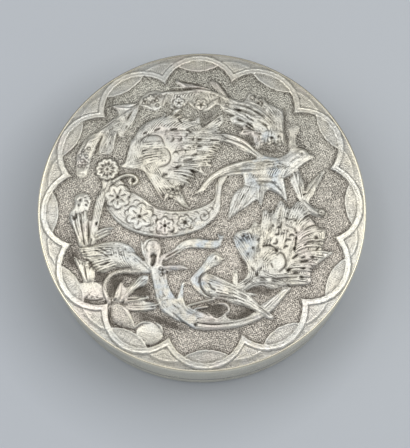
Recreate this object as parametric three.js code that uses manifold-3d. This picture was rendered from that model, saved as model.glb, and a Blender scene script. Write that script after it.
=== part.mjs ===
// Round silver box with a lift-off lid: millimetres, +Z up, origin at the middle of the underside.
import * as THREE from 'three';
import { mergeVertices } from 'three/addons/utils/BufferGeometryUtils.js';
import Module from 'manifold-3d';

const wasm = await Module();
wasm.setup();

// Driving dimensions of the lid
const LID_RADIUS = 45;
const LID_WALL = 0.8;
const SHOULDER_HEIGHT = 23;
const SHOULDER_DROP = 0.6;
const DOME_RISE = 4.6;
const DOME_POWER = 3;
const DOME_SHEET = 0.7;
const RIM_WIRE_WIDTH = 1.05;
const RIM_WIRE_HEIGHT = 0.95;

// Driving dimensions of the box under the lid
const PLATE_THICKNESS = 0.9;
const PLATE_SETBACK = 0.3;
const PLATE_EDGE_ROUND = 0.5;
const FOOT_BAND_TOP = 4.8;
const SEAT_WIRE_HEIGHT = 0.9;
const INNER_WALL = 0.8;
const HEADROOM = 1.9;

// Clearances
const SLIP_FIT = 0.3;
const SEAT_GAP = 0.3;
const SOLDER_GAP = 0.1;

// Relief heights above the dome
const RIBBON_RELIEF = 0.9;
const PAD_RELIEF = 0.5;
const LEAF_RELIEF = 1;
const BODY_RELIEF = 1.4;
const RELIEF_ROOT = 0.3;

// Scalloped border: twelve round lobes that meet in cusps
const LOBES = 12;
const LOBE_TURN = 1;
const LOBE_CENTRE = 32.5;
const RIBBON_INNER = 9.9;
const RIBBON_WIDTH = 1.6;
const LENS_CENTRE = 49.6;
const LENS_RADIUS = 10.7;
const SPANDREL_CENTRE = 33;
const SPANDREL_RADIUS = 10.2;
const PAD_GAP = 0.3;

// Facets
const ROUND_SEGMENTS = 72;
const DOME_SEGMENTS = 40;
const DOME_RINGS = 5;
const RING_CROWDING = 0.6;
const WIRE_STEPS = 6;
const ARC_STEPS = 8;
const CIRCLE_STEPS = 36;

// Radii and heights that follow from them
const SKIRT_TOP = SHOULDER_HEIGHT - SHOULDER_DROP;
const INNER_WALL_TOP = SKIRT_TOP - HEADROOM;
const SKIRT_INSIDE = LID_RADIUS - LID_WALL;
const INNER_WALL_OUTSIDE = SKIRT_INSIDE - SLIP_FIT;
const INNER_WALL_INSIDE = INNER_WALL_OUTSIDE - INNER_WALL;
const FOOT_BAND_INSIDE = INNER_WALL_OUTSIDE + SOLDER_GAP;
const SEAT_TOP = FOOT_BAND_TOP + SEAT_WIRE_HEIGHT;
const LID_MOUTH = SEAT_TOP + SEAT_GAP;
const DOME_EDGE = LID_RADIUS - RIM_WIRE_WIDTH - SOLDER_GAP;
const HALF_LOBE = Math.PI / LOBES;

// Outlines of the chased figures, seen from above, x to the right and y away from the viewer
const GARLAND = [
  [-27, 8], [-26.6, 3.5], [-26, -0.5], [-24.5, -2.6], [-22.8, -4.6], [-20.6, -6.4], [-17.6, -7.8],
  [-14, -8.7], [-10, -9], [-6, -8.6], [-2, -7.4], [1.2, -5.6], [3.6, -3.7], [4.9, -1.4], [5.2, 2],
  [5.6, 5], [7, 7.8], [5.2, 7.9], [3.7, 5.4], [3.4, 2], [2.8, 0.4], [1, -0.6], [-2.2, -1.7],
  [-5.5, -2.1], [-9, -2], [-12.4, -1.2], [-14.8, 0.2], [-16.6, 2], [-18.6, 3.1], [-20.4, 5.2],
  [-22.4, 7.4],
];
const FLYING_BIRD = [
  [-1.7, 3.2], [0.2, 5.1], [1.8, 7.6], [4.2, 9.3], [7, 10.8], [11, 12.1], [15, 12.9], [11.5, 14.7],
  [8, 16.8], [3.5, 18.6], [6.5, 20.1], [10, 19.1], [12.6, 17.7], [15, 15.2], [17.5, 13.6],
  [21, 13.2], [23.6, 14.6], [24.6, 17], [26.2, 16.2], [28.4, 15.6], [29.4, 14.4], [30.9, 13.5],
  [28.6, 12], [26.6, 10.3], [24.6, 8.2], [21.8, 6.6], [22.5, 3.4], [22.6, 1.2], [20.2, 2.8],
  [18, 3.8], [17, 2.2], [16, -0.7], [14.8, 1], [12.6, -0.4], [10, -2.2], [7.1, -4.1], [7.4, -1],
  [8.2, 2], [9.6, 3.9], [11.3, 5.2], [11.1, 8], [9.2, 8.6], [6.4, 8.2], [3.9, 7.2], [1.8, 5.2],
  [0.3, 3.5],
];
const UPPER_LEAF = [
  [-22.2, 11], [-20, 12.6], [-19, 14.8], [-19.8, 17.2], [-18.4, 19.4], [-17.2, 21.6], [-15.4, 23.2],
  [-12.6, 24.6], [-10, 25], [-8, 24.5], [-5.4, 25.1], [-4.6, 23.8], [-2.2, 24], [-0.4, 25],
  [0, 22.4], [2, 21.1], [3.6, 22], [5, 24.2], [5.8, 26.2], [6, 23.4], [4.4, 21], [5.4, 19.9],
  [7.8, 18.4], [5.8, 17.4], [3.6, 16.8], [4.8, 15.4], [2.4, 14.4], [3.6, 12.8], [1.4, 12],
  [2.8, 10.8], [0, 10], [1.4, 8.3], [-1, 8.8], [-3, 9.3], [-5, 8.2], [-3.9, 6.7], [-2.8, 4.9],
  [-4.6, 5.5], [-6, 4.8], [-5.6, 3.2], [-4.8, 1.4], [-3.2, -1.2], [-5.6, -0.3], [-7.3, 1],
  [-9, 2], [-10.1, 1], [-10.2, 2.7], [-11.6, 4.6], [-13.2, 6.6], [-14.6, 8.7], [-17, 10],
  [-19.8, 10.3],
];
const TOP_LEAF = [
  [5, 28.4], [5.4, 30.4], [8.4, 30], [10.8, 29.2], [12.2, 30], [13.4, 32], [14.8, 31.2],
  [15.6, 29.6], [17.2, 31], [18.2, 29.6], [19.4, 28.4], [20.4, 26.4], [22.4, 27.2], [22.8, 24],
  [22.7, 20.6], [23.2, 17.4], [21.4, 16.4], [19.6, 17.2], [17.2, 16.8], [15.2, 15.6], [14.4, 17.2],
  [13.8, 19.2], [10.4, 19.8], [11.4, 21.4], [8.6, 22.8], [7.6, 24.6], [9, 25.2], [6.4, 26.5],
];
const TWIG = [
  [-16.4, 29], [-13.2, 27.2], [-12.4, 28.6], [-13.4, 30.4], [-9.6, 32], [-5, 32.5], [-0.4, 33.2],
  [2.6, 32], [4.8, 31], [5.6, 32.4], [4.6, 34.8], [3, 34], [-2.4, 34], [-4.8, 34.7], [-7, 36],
  [-6.2, 34], [-8.8, 33.2], [-11.4, 33.2], [-13.8, 32.8], [-16, 31.4],
];
const SPRAY_LEAF = [
  [-16.9, 29], [-19.4, 26.6], [-20.4, 24], [-20.8, 21.6], [-21.4, 19.6], [-22.8, 20.6], [-23.4, 19],
  [-23.8, 16.6], [-24.6, 14.9], [-26.6, 14.4], [-28.1, 15], [-28, 17.2], [-27, 20], [-29, 18.8],
  [-30, 17], [-30.3, 14.4], [-31.2, 10.6], [-32, 8.8], [-33.2, 8.8], [-34, 10.6], [-34.1, 15],
  [-33, 17.4], [-31.4, 19.5], [-29.4, 20.9], [-27.4, 22.6], [-25, 24.4], [-22.8, 26.2],
  [-25.1, 29], [-22.4, 28.2], [-19.8, 28.4],
];
const PHEASANT = [
  [-33.2, -11.3], [-30.6, -11], [-28, -10.4], [-24, -9.8], [-21, -10.3], [-18.6, -11.8],
  [-17.4, -13.8], [-15.4, -15.7], [-15.9, -12.4], [-15, -10.1], [-13.3, -9.5], [-11.8, -10.3],
  [-11.2, -12.4], [-11.9, -13.6], [-13.4, -13.5], [-14, -16.2], [-13.6, -18.6], [-17.4, -18.6],
  [-20, -17.6], [-23.4, -17.3], [-26.4, -18.3], [-28.8, -17.2], [-29.6, -15.6], [-31.4, -14.4],
  [-32.6, -13],
];
const TAIL_FEATHERS = [
  [-34.4, 1], [-34.6, 2.6], [-33.2, 3.8], [-31.2, 3.6], [-30.2, 2], [-30.4, 0.2], [-31, -2],
  [-30.6, -3.6], [-29.8, -3.6], [-29.4, -1], [-28.6, 1.6], [-27.4, 4.6], [-26, 6.7], [-24.8, 6],
  [-26.4, 3.2], [-27.4, 0.4], [-27.2, -3.4], [-28, -6], [-28.3, -8], [-28.6, -10.2], [-31, -10.8],
  [-33.2, -10.9], [-34, -8], [-34.8, -5.6], [-36, -3.6], [-35.8, -1.4], [-34.9, -0.4],
];
const TRUNK = [
  [-13.2, -16.6], [-13.8, -19], [-13, -22], [-12.7, -24.6], [-12, -27], [-10.8, -29], [-8.4, -30.3],
  [-6.2, -31.2], [-4.4, -32.4], [-2.6, -33.5], [0, -34], [4, -33.9], [8, -33.6], [12, -32.5],
  [15.6, -31], [18.2, -29], [20.2, -26.8], [22, -24.6], [23.4, -22.8], [21.8, -22.2], [20, -24.2],
  [17.4, -26], [15, -27.6], [12.6, -29.9], [8.8, -31.2], [6.2, -30.4], [7, -28.6], [3.6, -30.9],
  [0.2, -29.4], [-2, -28.6], [-4, -27.4], [-5, -25.4], [-5.3, -22.2], [-6.8, -25.6], [-8.8, -23.6],
  [-9.8, -21], [-10, -18.6], [-7, -18], [-4.2, -17.5], [-5.6, -16.5], [-8.2, -16.7], [-10.6, -16.6],
  [-10.4, -14.4], [-7.8, -13.3], [-5, -12], [-2, -12], [1, -12.2], [3, -12.3], [4.7, -11.2],
  [5.9, -8.4], [4.2, -9.9], [1.4, -9.8], [-1.6, -9.3], [-4, -9.6], [-5.6, -11], [-8.4, -12.7],
  [-11.1, -13.9], [-11.8, -15.6],
];
const PERCHED_BIRD = [
  [3.2, -13.1], [4.7, -13.8], [6.3, -15], [4.4, -16.1], [2.7, -17.2], [1.2, -18.8], [2.4, -19.9],
  [4.6, -20.6], [8, -22.2], [10.2, -23.4], [12.7, -25], [14.6, -27.3], [16.6, -28.9], [18.7, -30.4],
  [17.8, -31.1], [15.2, -30.1], [13.4, -28.9], [11.2, -27.8], [8, -27], [5, -25.9], [2, -25.7],
  [0.2, -25], [-1.5, -23.8], [-2.9, -22], [-3.3, -20.4], [-2.5, -19.2], [-1, -17.7], [0.4, -15.9],
  [1.6, -14.2],
];
const LOWER_LEAF = [
  [9, -22], [11.2, -20.3], [12.1, -18.4], [11.4, -16], [10.1, -14], [9, -12], [8.3, -9.6],
  [9.2, -8], [10.6, -7.2], [12.4, -6.9], [13.3, -5.9], [14.3, -4.7], [15.3, -5.7], [16, -4.2],
  [16.4, -1.8], [17.5, -1.6], [18.4, -2.5], [19.3, -1.9], [20.4, 0], [21.2, 1], [22.2, 0.4],
  [23.2, -1.2], [24.4, -0.7], [26.2, 1.2], [28.4, 0.4], [29, -1.4], [29, -3.2], [30.1, -4.8],
  [31.2, -6.4], [33.2, -7.2], [33, -9.8], [32.2, -12.4], [35.1, -13], [33, -14.8], [31.2, -16.1],
  [29.7, -17.4], [29, -19.2], [29.1, -21.1], [27.4, -22], [24, -22.1], [21, -22.9], [18.4, -23.1],
  [15.4, -22.3], [12.6, -23.1], [10.6, -24.1],
];
const SIDE_LEAVES = [
  [26.2, 1.2], [25.2, 3.8], [24, 6.6], [24.8, 8.4], [26.2, 10], [26.8, 8.4], [27.8, 5.6], [28, 3.6],
  [29, 5.6], [31, 7.8], [33.5, 9.7], [32.8, 7.6], [31.4, 5], [30.2, 2.6], [29, 0.6], [30.6, -1.1],
  [32.4, -1.1], [34, -2.5], [32.6, -3.5], [30.6, -3.3], [28.6, -2.6], [27.6, -1],
];
const LEFT_LEAF = [
  [-34.6, -13.6], [-32.8, -14.6], [-31.6, -15.2], [-30.2, -16.2], [-28.9, -17.4], [-29.2, -20.3],
  [-31.7, -20.9], [-32.6, -18.6], [-33.7, -16.2],
];
const LEFT_FRUIT = [
  [-33, -21.3], [-31.4, -20.7], [-29.2, -20.5], [-27.4, -21.3], [-26.1, -22.9], [-25.5, -25.2],
  [-27, -25.7], [-29.6, -25.9], [-31.9, -25.2], [-33.5, -23.6],
];
const LOWER_POD = [
  [-25, -27.1], [-22.6, -26.7], [-21, -27.6], [-19.7, -29], [-18.8, -31], [-17.6, -33.3],
  [-20.2, -33], [-22.6, -32.4], [-24.2, -30.8], [-24.9, -28.8],
];
const LOWER_BUD = [
  [-17.6, -33.5], [-15.8, -32.2], [-14.8, -31.4], [-12.8, -32.2], [-11.1, -34], [-10.7, -35.6],
  [-12, -36.9], [-14.4, -37.6], [-16.2, -36.8], [-17.6, -35.2],
];
const NOTCHED_LEAF = [
  [-24.2, -25.9], [-22.9, -23], [-21.8, -20.9], [-20.4, -22.4], [-18, -20.5], [-16.4, -19.2],
  [-14.4, -19.6], [-15.4, -22], [-18, -23.3], [-19.8, -24.8], [-14.4, -24.9], [-15.6, -26],
  [-12.4, -26.8], [-13, -28.4], [-18.4, -28.4], [-20.6, -26.6],
];

// Second, higher storey of the figures
const FLYING_BODY = [
  [4.6, 8.6], [8.6, 10.4], [12.6, 11.5], [17, 12], [21, 12.2], [24.4, 14], [26.6, 15.4], [28.4, 14.2],
  [27.2, 12.2], [25, 10.4], [22.6, 8], [19.4, 7.1], [14.4, 7.4], [9.4, 9.3],
];
const PHEASANT_BODY = [
  [-29.4, -12.2], [-25.4, -10.9], [-21.6, -11.4], [-19, -13], [-16.6, -15.4], [-15.2, -17.3],
  [-19.4, -16.8], [-24, -16.1], [-27.6, -15],
];
const PERCHED_BODY = [
  [3.3, -13.9], [4.3, -14.8], [2.6, -16.2], [0.9, -18.2], [2.4, -20.8], [6.6, -22.6], [10, -24.6],
  [7.4, -25.4], [3.4, -24.8], [0.2, -23.8], [-1.6, -21.8], [-1.8, -20], [0, -17.6], [1.6, -15.2],
];
const UPPER_LEAF_HEART = [
  [-17, 13], [-15.6, 17.6], [-12.6, 20], [-8, 21.4], [-3, 20.8], [1.6, 18.4], [-1, 14.4],
  [-4.6, 11.6], [-8, 7.4], [-11, 6.2], [-14, 9.4],
];
const LOWER_LEAF_HEART = [
  [13, -19.4], [13.2, -14.6], [13, -9.6], [16.2, -7.2], [19, -4.6], [22, -3], [25, -3.6],
  [28.2, -7.6], [30, -10.6], [27, -14.6], [24.6, -18.6], [19.4, -20.6],
];
const TOP_LEAF_HEART = [
  [9, 27.6], [13.4, 28.6], [17.2, 27.2], [20, 23.6], [21, 19.6], [18, 18.8], [14.8, 20.6], [11.6, 24],
];

// Flowers on the garland: centre and radius of each
const FLOWERS = [
  [-25.7, 10.3, 3.5], [-22.9, 2.6, 3.5], [-16.6, -3.4, 3.3], [-10, -6, 2.8], [-4.6, -5, 2.2],
];
const PETALS = 6;
const PETAL_DEPTH = 0.16;
const FLOWER_STEPS = 18;

const LEAF_FIGURES = [
  GARLAND, FLYING_BIRD, UPPER_LEAF, TOP_LEAF, TWIG, SPRAY_LEAF, PHEASANT, TAIL_FEATHERS, TRUNK,
  PERCHED_BIRD, LOWER_LEAF, SIDE_LEAVES, LEFT_LEAF, LEFT_FRUIT, LOWER_POD, LOWER_BUD, NOTCHED_LEAF,
];
const BODY_FIGURES = [
  FLYING_BODY, PHEASANT_BODY, PERCHED_BODY, UPPER_LEAF_HEART, LOWER_LEAF_HEART, TOP_LEAF_HEART,
];

// Finishes
function silver(name, colour, roughness) {
  const color = new THREE.Color(...colour);
  return new THREE.MeshStandardMaterial({ name, color, roughness, metalness: 1 });
}
const CHASED_SILVER = silver('chased_silver', [0.72, 0.7, 0.64], 0.42);
const POLISHED_SILVER = silver('polished_silver', [0.82, 0.81, 0.76], 0.26);
const INSIDE_SILVER = silver('inside_silver', [0.76, 0.75, 0.71], 0.38);

// Solids of revolution: a closed outline of [radius, height] points turned about Z
function turned(outline, segments = ROUND_SEGMENTS) {
  const points = outline.map(([radius, height]) => new THREE.Vector2(radius, height));
  const geometry = new THREE.LatheGeometry(points, segments);
  geometry.rotateX(Math.PI / 2);
  return geometry;
}

function ring(inside, outside, bottom, top) {
  return turned([[inside, bottom], [outside, bottom], [outside, top], [inside, top], [inside, bottom]]);
}

// A half-round wire lying on the level `bottom`, flat side down
function halfRoundWire(outside, width, bottom, height) {
  const middle = outside - width / 2;
  const outline = [];
  for (let step = 0; step <= WIRE_STEPS; step += 1) {
    const angle = (Math.PI * step) / WIRE_STEPS;
    outline.push([middle + (width / 2) * Math.cos(angle), bottom + height * Math.sin(angle)]);
  }
  outline.push(outline[0].slice());
  return turned(outline);
}

function basePlate() {
  const radius = LID_RADIUS - PLATE_SETBACK;
  return turned([
    [0, 0],
    [radius - PLATE_EDGE_ROUND, 0],
    [radius, PLATE_EDGE_ROUND],
    [radius, PLATE_THICKNESS],
    [0, PLATE_THICKNESS],
  ]);
}

// The lid's dome: its height at a distance from the axis
function domeHeight(radius) {
  return SHOULDER_HEIGHT + DOME_RISE * (1 - (radius / LID_RADIUS) ** DOME_POWER);
}

// A round shell parallel to the dome, from `below` under it to `above` over it, out to the given edge
function domeShell(below, above, edge) {
  const lower = [];
  const upper = [];
  for (let step = 0; step <= DOME_RINGS; step += 1) {
    const radius = edge * (step / DOME_RINGS) ** RING_CROWDING;
    lower.push([radius, domeHeight(radius) - below]);
    upper.push([radius, domeHeight(radius) + above]);
  }
  return turned([...lower, ...upper.reverse()], DOME_SEGMENTS);
}

// Joining and cutting: three.js geometry to solids and back
function toSolid(geometry) {
  const bare = geometry.clone();
  bare.deleteAttribute('normal');
  bare.deleteAttribute('uv');
  const merged = mergeVertices(bare);
  const index = merged.getIndex().array;
  const corners = [];
  for (let start = 0; start < index.length; start += 3) {
    const [a, b, c] = index.slice(start, start + 3);
    if (a !== b && b !== c && c !== a) corners.push(a, b, c);
  }
  return new wasm.Manifold(new wasm.Mesh({
    numProp: 3,
    vertProperties: new Float32Array(merged.getAttribute('position').array),
    triVerts: new Uint32Array(corners),
  }));
}

function toGeometry(solid) {
  const mesh = solid.getMesh();
  const geometry = new THREE.BufferGeometry();
  geometry.setAttribute('position', new THREE.BufferAttribute(new Float32Array(mesh.vertProperties), 3));
  geometry.setIndex(new THREE.BufferAttribute(new Uint32Array(mesh.triVerts), 1));
  geometry.computeVertexNormals();
  return geometry;
}

// An upright prism through the whole dome from a flat outline and its holes
function prism(outline, holes = []) {
  const shape = new THREE.Shape(outline.map(([x, y]) => new THREE.Vector2(x, y)));
  for (const hole of holes) {
    shape.holes.push(new THREE.Path(hole.map(([x, y]) => new THREE.Vector2(x, y))));
  }
  const depth = DOME_RISE + SHOULDER_HEIGHT;
  const geometry = new THREE.ExtrudeGeometry(shape, { depth, bevelEnabled: false });
  geometry.translate(0, 0, SHOULDER_HEIGHT / 2);
  return toSolid(geometry);
}

// A circle whose centre lies at a distance from the axis, in the direction `turn`
function circleOutline(turn, centre, radius) {
  const outline = [];
  for (let step = 0; step < CIRCLE_STEPS; step += 1) {
    const angle = turn + (2 * Math.PI * step) / CIRCLE_STEPS;
    outline.push([
      centre * Math.cos(turn) + radius * Math.cos(angle),
      centre * Math.sin(turn) + radius * Math.sin(angle),
    ]);
  }
  return outline;
}

function lobeTurn(lobe) {
  return THREE.MathUtils.degToRad(LOBE_TURN) + lobe * 2 * HALF_LOBE;
}

// The scalloped outline: each lobe's arc runs from the ray between two lobes to the next such ray
function scallopOutline(radius) {
  const offset = LOBE_CENTRE * Math.sin(HALF_LOBE);
  const cusp = LOBE_CENTRE * Math.cos(HALF_LOBE) + Math.sqrt(radius ** 2 - offset ** 2);
  const reach = Math.atan2(cusp * Math.sin(HALF_LOBE), cusp * Math.cos(HALF_LOBE) - LOBE_CENTRE);
  const outline = [];
  for (let lobe = 0; lobe < LOBES; lobe += 1) {
    const turn = lobeTurn(lobe);
    for (let step = 0; step < ARC_STEPS; step += 1) {
      const angle = turn - reach + (2 * reach * step) / ARC_STEPS;
      outline.push([
        LOBE_CENTRE * Math.cos(turn) + radius * Math.cos(angle),
        LOBE_CENTRE * Math.sin(turn) + radius * Math.sin(angle),
      ]);
    }
  }
  return outline;
}

function flowerOutline([x, y, radius]) {
  const outline = [];
  for (let step = 0; step < FLOWER_STEPS; step += 1) {
    const angle = (2 * Math.PI * step) / FLOWER_STEPS;
    const reach = radius * (1 - PETAL_DEPTH + PETAL_DEPTH * Math.cos(PETALS * angle));
    outline.push([x + reach * Math.cos(angle), y + reach * Math.sin(angle)]);
  }
  return outline;
}

// Relief: prisms trimmed to a layer that follows the dome, rooted a little way in its sheet
function reliefLayer(prisms, height) {
  const layer = toSolid(domeShell(RELIEF_ROOT, height, DOME_EDGE));
  return wasm.Manifold.union(prisms).intersect(layer);
}

function borderPads() {
  const pads = [];
  const insideRibbon = prism(scallopOutline(RIBBON_INNER - PAD_GAP));
  const outsideRibbon = prism(scallopOutline(RIBBON_INNER + RIBBON_WIDTH + PAD_GAP));
  for (let lobe = 0; lobe < LOBES; lobe += 1) {
    const lens = prism(circleOutline(lobeTurn(lobe), LENS_CENTRE, LENS_RADIUS));
    pads.push(lens.intersect(insideRibbon));
    const spandrel = prism(circleOutline(lobeTurn(lobe) + HALF_LOBE, SPANDREL_CENTRE, SPANDREL_RADIUS));
    pads.push(spandrel.subtract(outsideRibbon));
  }
  return pads;
}

function lidTop() {
  const sheet = toSolid(domeShell(DOME_SHEET, 0, DOME_EDGE));
  const ribbon = prism(scallopOutline(RIBBON_INNER + RIBBON_WIDTH), [scallopOutline(RIBBON_INNER)]);
  const figures = LEAF_FIGURES.map((outline) => prism(outline));
  const bodies = BODY_FIGURES.map((outline) => prism(outline));
  const flowers = FLOWERS.map((flower) => prism(flowerOutline(flower)));
  return toGeometry(wasm.Manifold.union([
    sheet,
    reliefLayer(borderPads(), PAD_RELIEF),
    reliefLayer([ribbon], RIBBON_RELIEF),
    reliefLayer(figures, LEAF_RELIEF),
    reliefLayer([...bodies, ...flowers], BODY_RELIEF),
  ]));
}

function piece(name, geometry, material) {
  const mesh = new THREE.Mesh(geometry, material);
  mesh.name = name;
  return mesh;
}

const base = new THREE.Group();
base.add(
  piece('base_plate', basePlate(), INSIDE_SILVER),
  piece('foot_band', ring(FOOT_BAND_INSIDE, LID_RADIUS, PLATE_THICKNESS, FOOT_BAND_TOP), POLISHED_SILVER),
  piece(
    'seat_wire',
    halfRoundWire(LID_RADIUS, LID_RADIUS - FOOT_BAND_INSIDE, FOOT_BAND_TOP, SEAT_WIRE_HEIGHT),
    POLISHED_SILVER,
  ),
  piece(
    'inner_wall',
    ring(INNER_WALL_INSIDE, INNER_WALL_OUTSIDE, PLATE_THICKNESS, INNER_WALL_TOP),
    INSIDE_SILVER,
  ),
);

const lid = new THREE.Group();
lid.add(
  piece('lid_skirt', ring(SKIRT_INSIDE, LID_RADIUS, LID_MOUTH, SKIRT_TOP), POLISHED_SILVER),
  piece(
    'lid_rim_wire',
    halfRoundWire(LID_RADIUS, RIM_WIRE_WIDTH, SKIRT_TOP, RIM_WIRE_HEIGHT),
    POLISHED_SILVER,
  ),
  piece('lid_top', lidTop(), CHASED_SILVER),
);

const silverBox = new THREE.Group();
silverBox.add(base, lid);

export default silverBox;
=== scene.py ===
"""A round silver box with a chased lift-off lid, dressed around its fixed frame.

Lengths of the chasing are in millimetres, seen from above: x to the right, y away from the viewer.
"""
import math

import bpy
import numpy as np
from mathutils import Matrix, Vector


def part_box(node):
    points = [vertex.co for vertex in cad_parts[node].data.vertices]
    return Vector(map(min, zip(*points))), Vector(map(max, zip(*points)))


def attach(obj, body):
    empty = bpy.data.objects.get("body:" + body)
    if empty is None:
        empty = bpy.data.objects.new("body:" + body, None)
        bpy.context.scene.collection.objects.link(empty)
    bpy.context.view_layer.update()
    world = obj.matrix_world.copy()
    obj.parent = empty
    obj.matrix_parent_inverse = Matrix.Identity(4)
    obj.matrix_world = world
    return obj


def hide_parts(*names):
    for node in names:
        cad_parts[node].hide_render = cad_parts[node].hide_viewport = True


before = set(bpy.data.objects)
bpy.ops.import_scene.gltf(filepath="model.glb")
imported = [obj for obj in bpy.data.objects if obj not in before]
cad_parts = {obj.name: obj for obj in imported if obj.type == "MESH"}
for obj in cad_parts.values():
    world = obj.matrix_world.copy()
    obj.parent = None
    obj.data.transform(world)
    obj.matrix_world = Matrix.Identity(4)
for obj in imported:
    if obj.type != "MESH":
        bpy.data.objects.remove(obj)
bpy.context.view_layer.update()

MM = 0.001

# The lid's dome, and the drawing sheet on which the relief is raised, one cell every GRAIN
LID_RADIUS = 45.0
SHOULDER_HEIGHT = 23.0
DOME_RISE = 4.6
DOME_POWER = 3
DOME_EDGE = 43.85
GRAIN = 0.1
SHEET_CELLS = 2 * round(LID_RADIUS / GRAIN) + 1
sheet_line = np.linspace(-LID_RADIUS, LID_RADIUS, SHEET_CELLS)
sheet_x, sheet_y = np.meshgrid(sheet_line, sheet_line)

# What is drawn: the height, the bare ground, the oxide, where strands run and where the silver is hatched
relief = np.zeros((SHEET_CELLS, SHEET_CELLS))
ground = np.ones((SHEET_CELLS, SHEET_CELLS))
ink = np.zeros((SHEET_CELLS, SHEET_CELLS))
strands = np.full((SHEET_CELLS, SHEET_CELLS), -1.0)
satin = np.zeros((SHEET_CELLS, SHEET_CELLS))

# Relief of the figures over the dome
FIGURE_RELIEF = 0.62
BODY_SWELL = 0.45
CROWN_POWER = 0.7
STROKE_FOOT = 0.34
DEEPEST_CUT = -0.2
HAMMER_WAVES = 0.035
CURVE_STEPS = 4

# Fringes of strokes, and the strands that the finish draws along them
GOLDEN = 0.618
FRINGE_STEP = 0.06
FRINGE_FOOT = 0.42
FRINGE_INK = 0.9
FRINGE_START = 0.15
STRAND_PITCH = 0.5

# Chasing tools: the width of their lines, how steep a groove is, and the oxide that stays
CUT_INK = 0.85
CUT_WIDTH = 0.13
OXIDE_LEFT = 0.3
GROOVE_STEEPNESS = 1.35
GROOVE_END = 0.35
TOOL_MARGIN = 0.6
BEAD_CUT = 0.16
RING_WIDTH = 0.17
CRESCENT_BACK = 0.35
CRESCENT_FACE = 0.75
CRESCENT_LIP = 0.12
LIP_INSET = 0.3
LIP_WIDTH = 0.2
PETAL_RISE = 0.14
PETAL_SOFT = 0.15
PETAL_CUT = (0.42, 0.95)

# How far the lines that follow an edge reach, and the dark line round each figure and the border
EDGE_REACH = 4.0
BORDER_REACH = 1.5
FIGURE_INK = 0.5
BORDER_INK = 0.9
OUTLINE_WIDTH = 0.34

# Narrow pockets of ground, which are darkened
POCKET_REACH = 1.2
POCKET_OPEN = 0.68
POCKET_SOFT = 0.3
POCKET_INK = 0.82
NARROW_INK = 0.5


def curve(points, closed=False):
    """A smooth line through given points, as an array of points"""
    points = np.array(points, float)
    count = len(points) if closed else len(points) - 1
    if len(points) < 3:
        return points
    if closed:
        before, start, end, after = (np.roll(points, shift, axis=0) for shift in (1, 0, -1, -2))
    else:
        padded = np.vstack([2 * points[0] - points[1], points, 2 * points[-1] - points[-2]])
        before, start, end, after = (padded[shift:shift + count] for shift in range(4))
    parts = []
    for t in np.arange(CURVE_STEPS) / CURVE_STEPS:
        parts.append(0.5 * (2 * start + (end - before) * t
                            + (2 * before - 5 * start + 4 * end - after) * t * t
                            + (3 * start - before - 3 * end + after) * t ** 3))
    line = np.stack(parts, axis=1).reshape(-1, 2)
    return line if closed else np.vstack([line, points[-1]])


def patch(points, margin):
    """The cells around some points: their slices in the sheet, and each cell's x and y"""
    low = np.floor((np.min(points, axis=0) - margin + LID_RADIUS) / GRAIN).astype(int)
    high = np.ceil((np.max(points, axis=0) + margin + LID_RADIUS) / GRAIN).astype(int) + 1
    low, high = np.clip(low, 0, SHEET_CELLS), np.clip(high, 0, SHEET_CELLS)
    cells = np.s_[low[1]:high[1], low[0]:high[0]]
    return cells, sheet_x[cells], sheet_y[cells]


def inside_of(line, x, y):
    """1 where a cell lies inside a closed line, else 0"""
    inside = np.zeros(x.shape, bool)
    for (ax, ay), (bx, by) in zip(line, np.roll(line, -1, axis=0)):
        if ay != by:
            crossed = (ay > y) != (by > y)
            inside ^= crossed & (x < ax + (y - ay) * (bx - ax) / (by - ay))
    return inside.astype(float)


def blurred(field, width):
    """A field softened over about `width` millimetres, by three box averages each way"""
    reach = max(1, round(width / GRAIN))
    for axis in (0, 1):
        for _ in range(3):
            pad = [(0, 0), (0, 0)]
            pad[axis] = (reach + 1, reach)
            total = np.cumsum(np.pad(field, pad, mode="edge"), axis=axis)
            ahead = np.take(total, range(2 * reach + 1, total.shape[axis]), axis=axis)
            behind = np.take(total, range(total.shape[axis] - 2 * reach - 1), axis=axis)
            field = (ahead - behind) / (2 * reach + 1)
    return field


def along(line, x, y):
    """Each cell's distance from an open line, and how far along it the nearest point is, 0 to 1"""
    nearest = np.full(x.shape, 1e9)
    run = np.zeros(x.shape)
    travelled = 0.0
    for (ax, ay), (bx, by) in zip(line, line[1:]):
        dx, dy = bx - ax, by - ay
        length = max(math.hypot(dx, dy), 1e-6)
        t = np.clip(((x - ax) * dx + (y - ay) * dy) / length ** 2, 0, 1)
        gap = np.hypot(x - ax - t * dx, y - ay - t * dy)
        closer = gap < nearest
        nearest = np.where(closer, gap, nearest)
        run = np.where(closer, travelled + t * length, run)
        travelled += length
    return nearest, run / max(travelled, 1e-6)


def distance_from(near, reach):
    """Each cell's distance from the nearest marked cell, up to `reach` millimetres"""
    gap = np.where(near, 0.0, reach)
    steps = [(i, j) for i in (-1, 0, 1) for j in (-1, 0, 1) if i or j]
    for _ in range(round(reach / GRAIN)):
        for i, j in steps:
            gap = np.minimum(gap, np.roll(gap, (i, j), (0, 1)) + GRAIN * math.hypot(i, j))
    return gap


def filled(outline, margin):
    """A closed outline's cells, and 1 inside it, else 0"""
    line = curve(outline, closed=True)
    cells, x, y = patch(line, margin)
    return cells, inside_of(line, x, y)


def round_about(x0, y0, margin):
    """The cells around a point, how far each is from it to the right and away, and straight to it"""
    cells, x, y = patch([(x0, y0)], margin)
    return cells, x - x0, y - y0, np.hypot(x - x0, y - y0)


def ridge_line(away, width):
    """1 on a line, falling softly to 0 on both sides of it"""
    return np.exp(-(away / width) ** 2)


def crown_of(inside, crown):
    """A rounded top for a filled outline: 0 at its edge, 1 further in than `crown`"""
    return np.clip(2 * blurred(inside, crown) - 1, 0, 1) ** CROWN_POWER * inside


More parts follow.
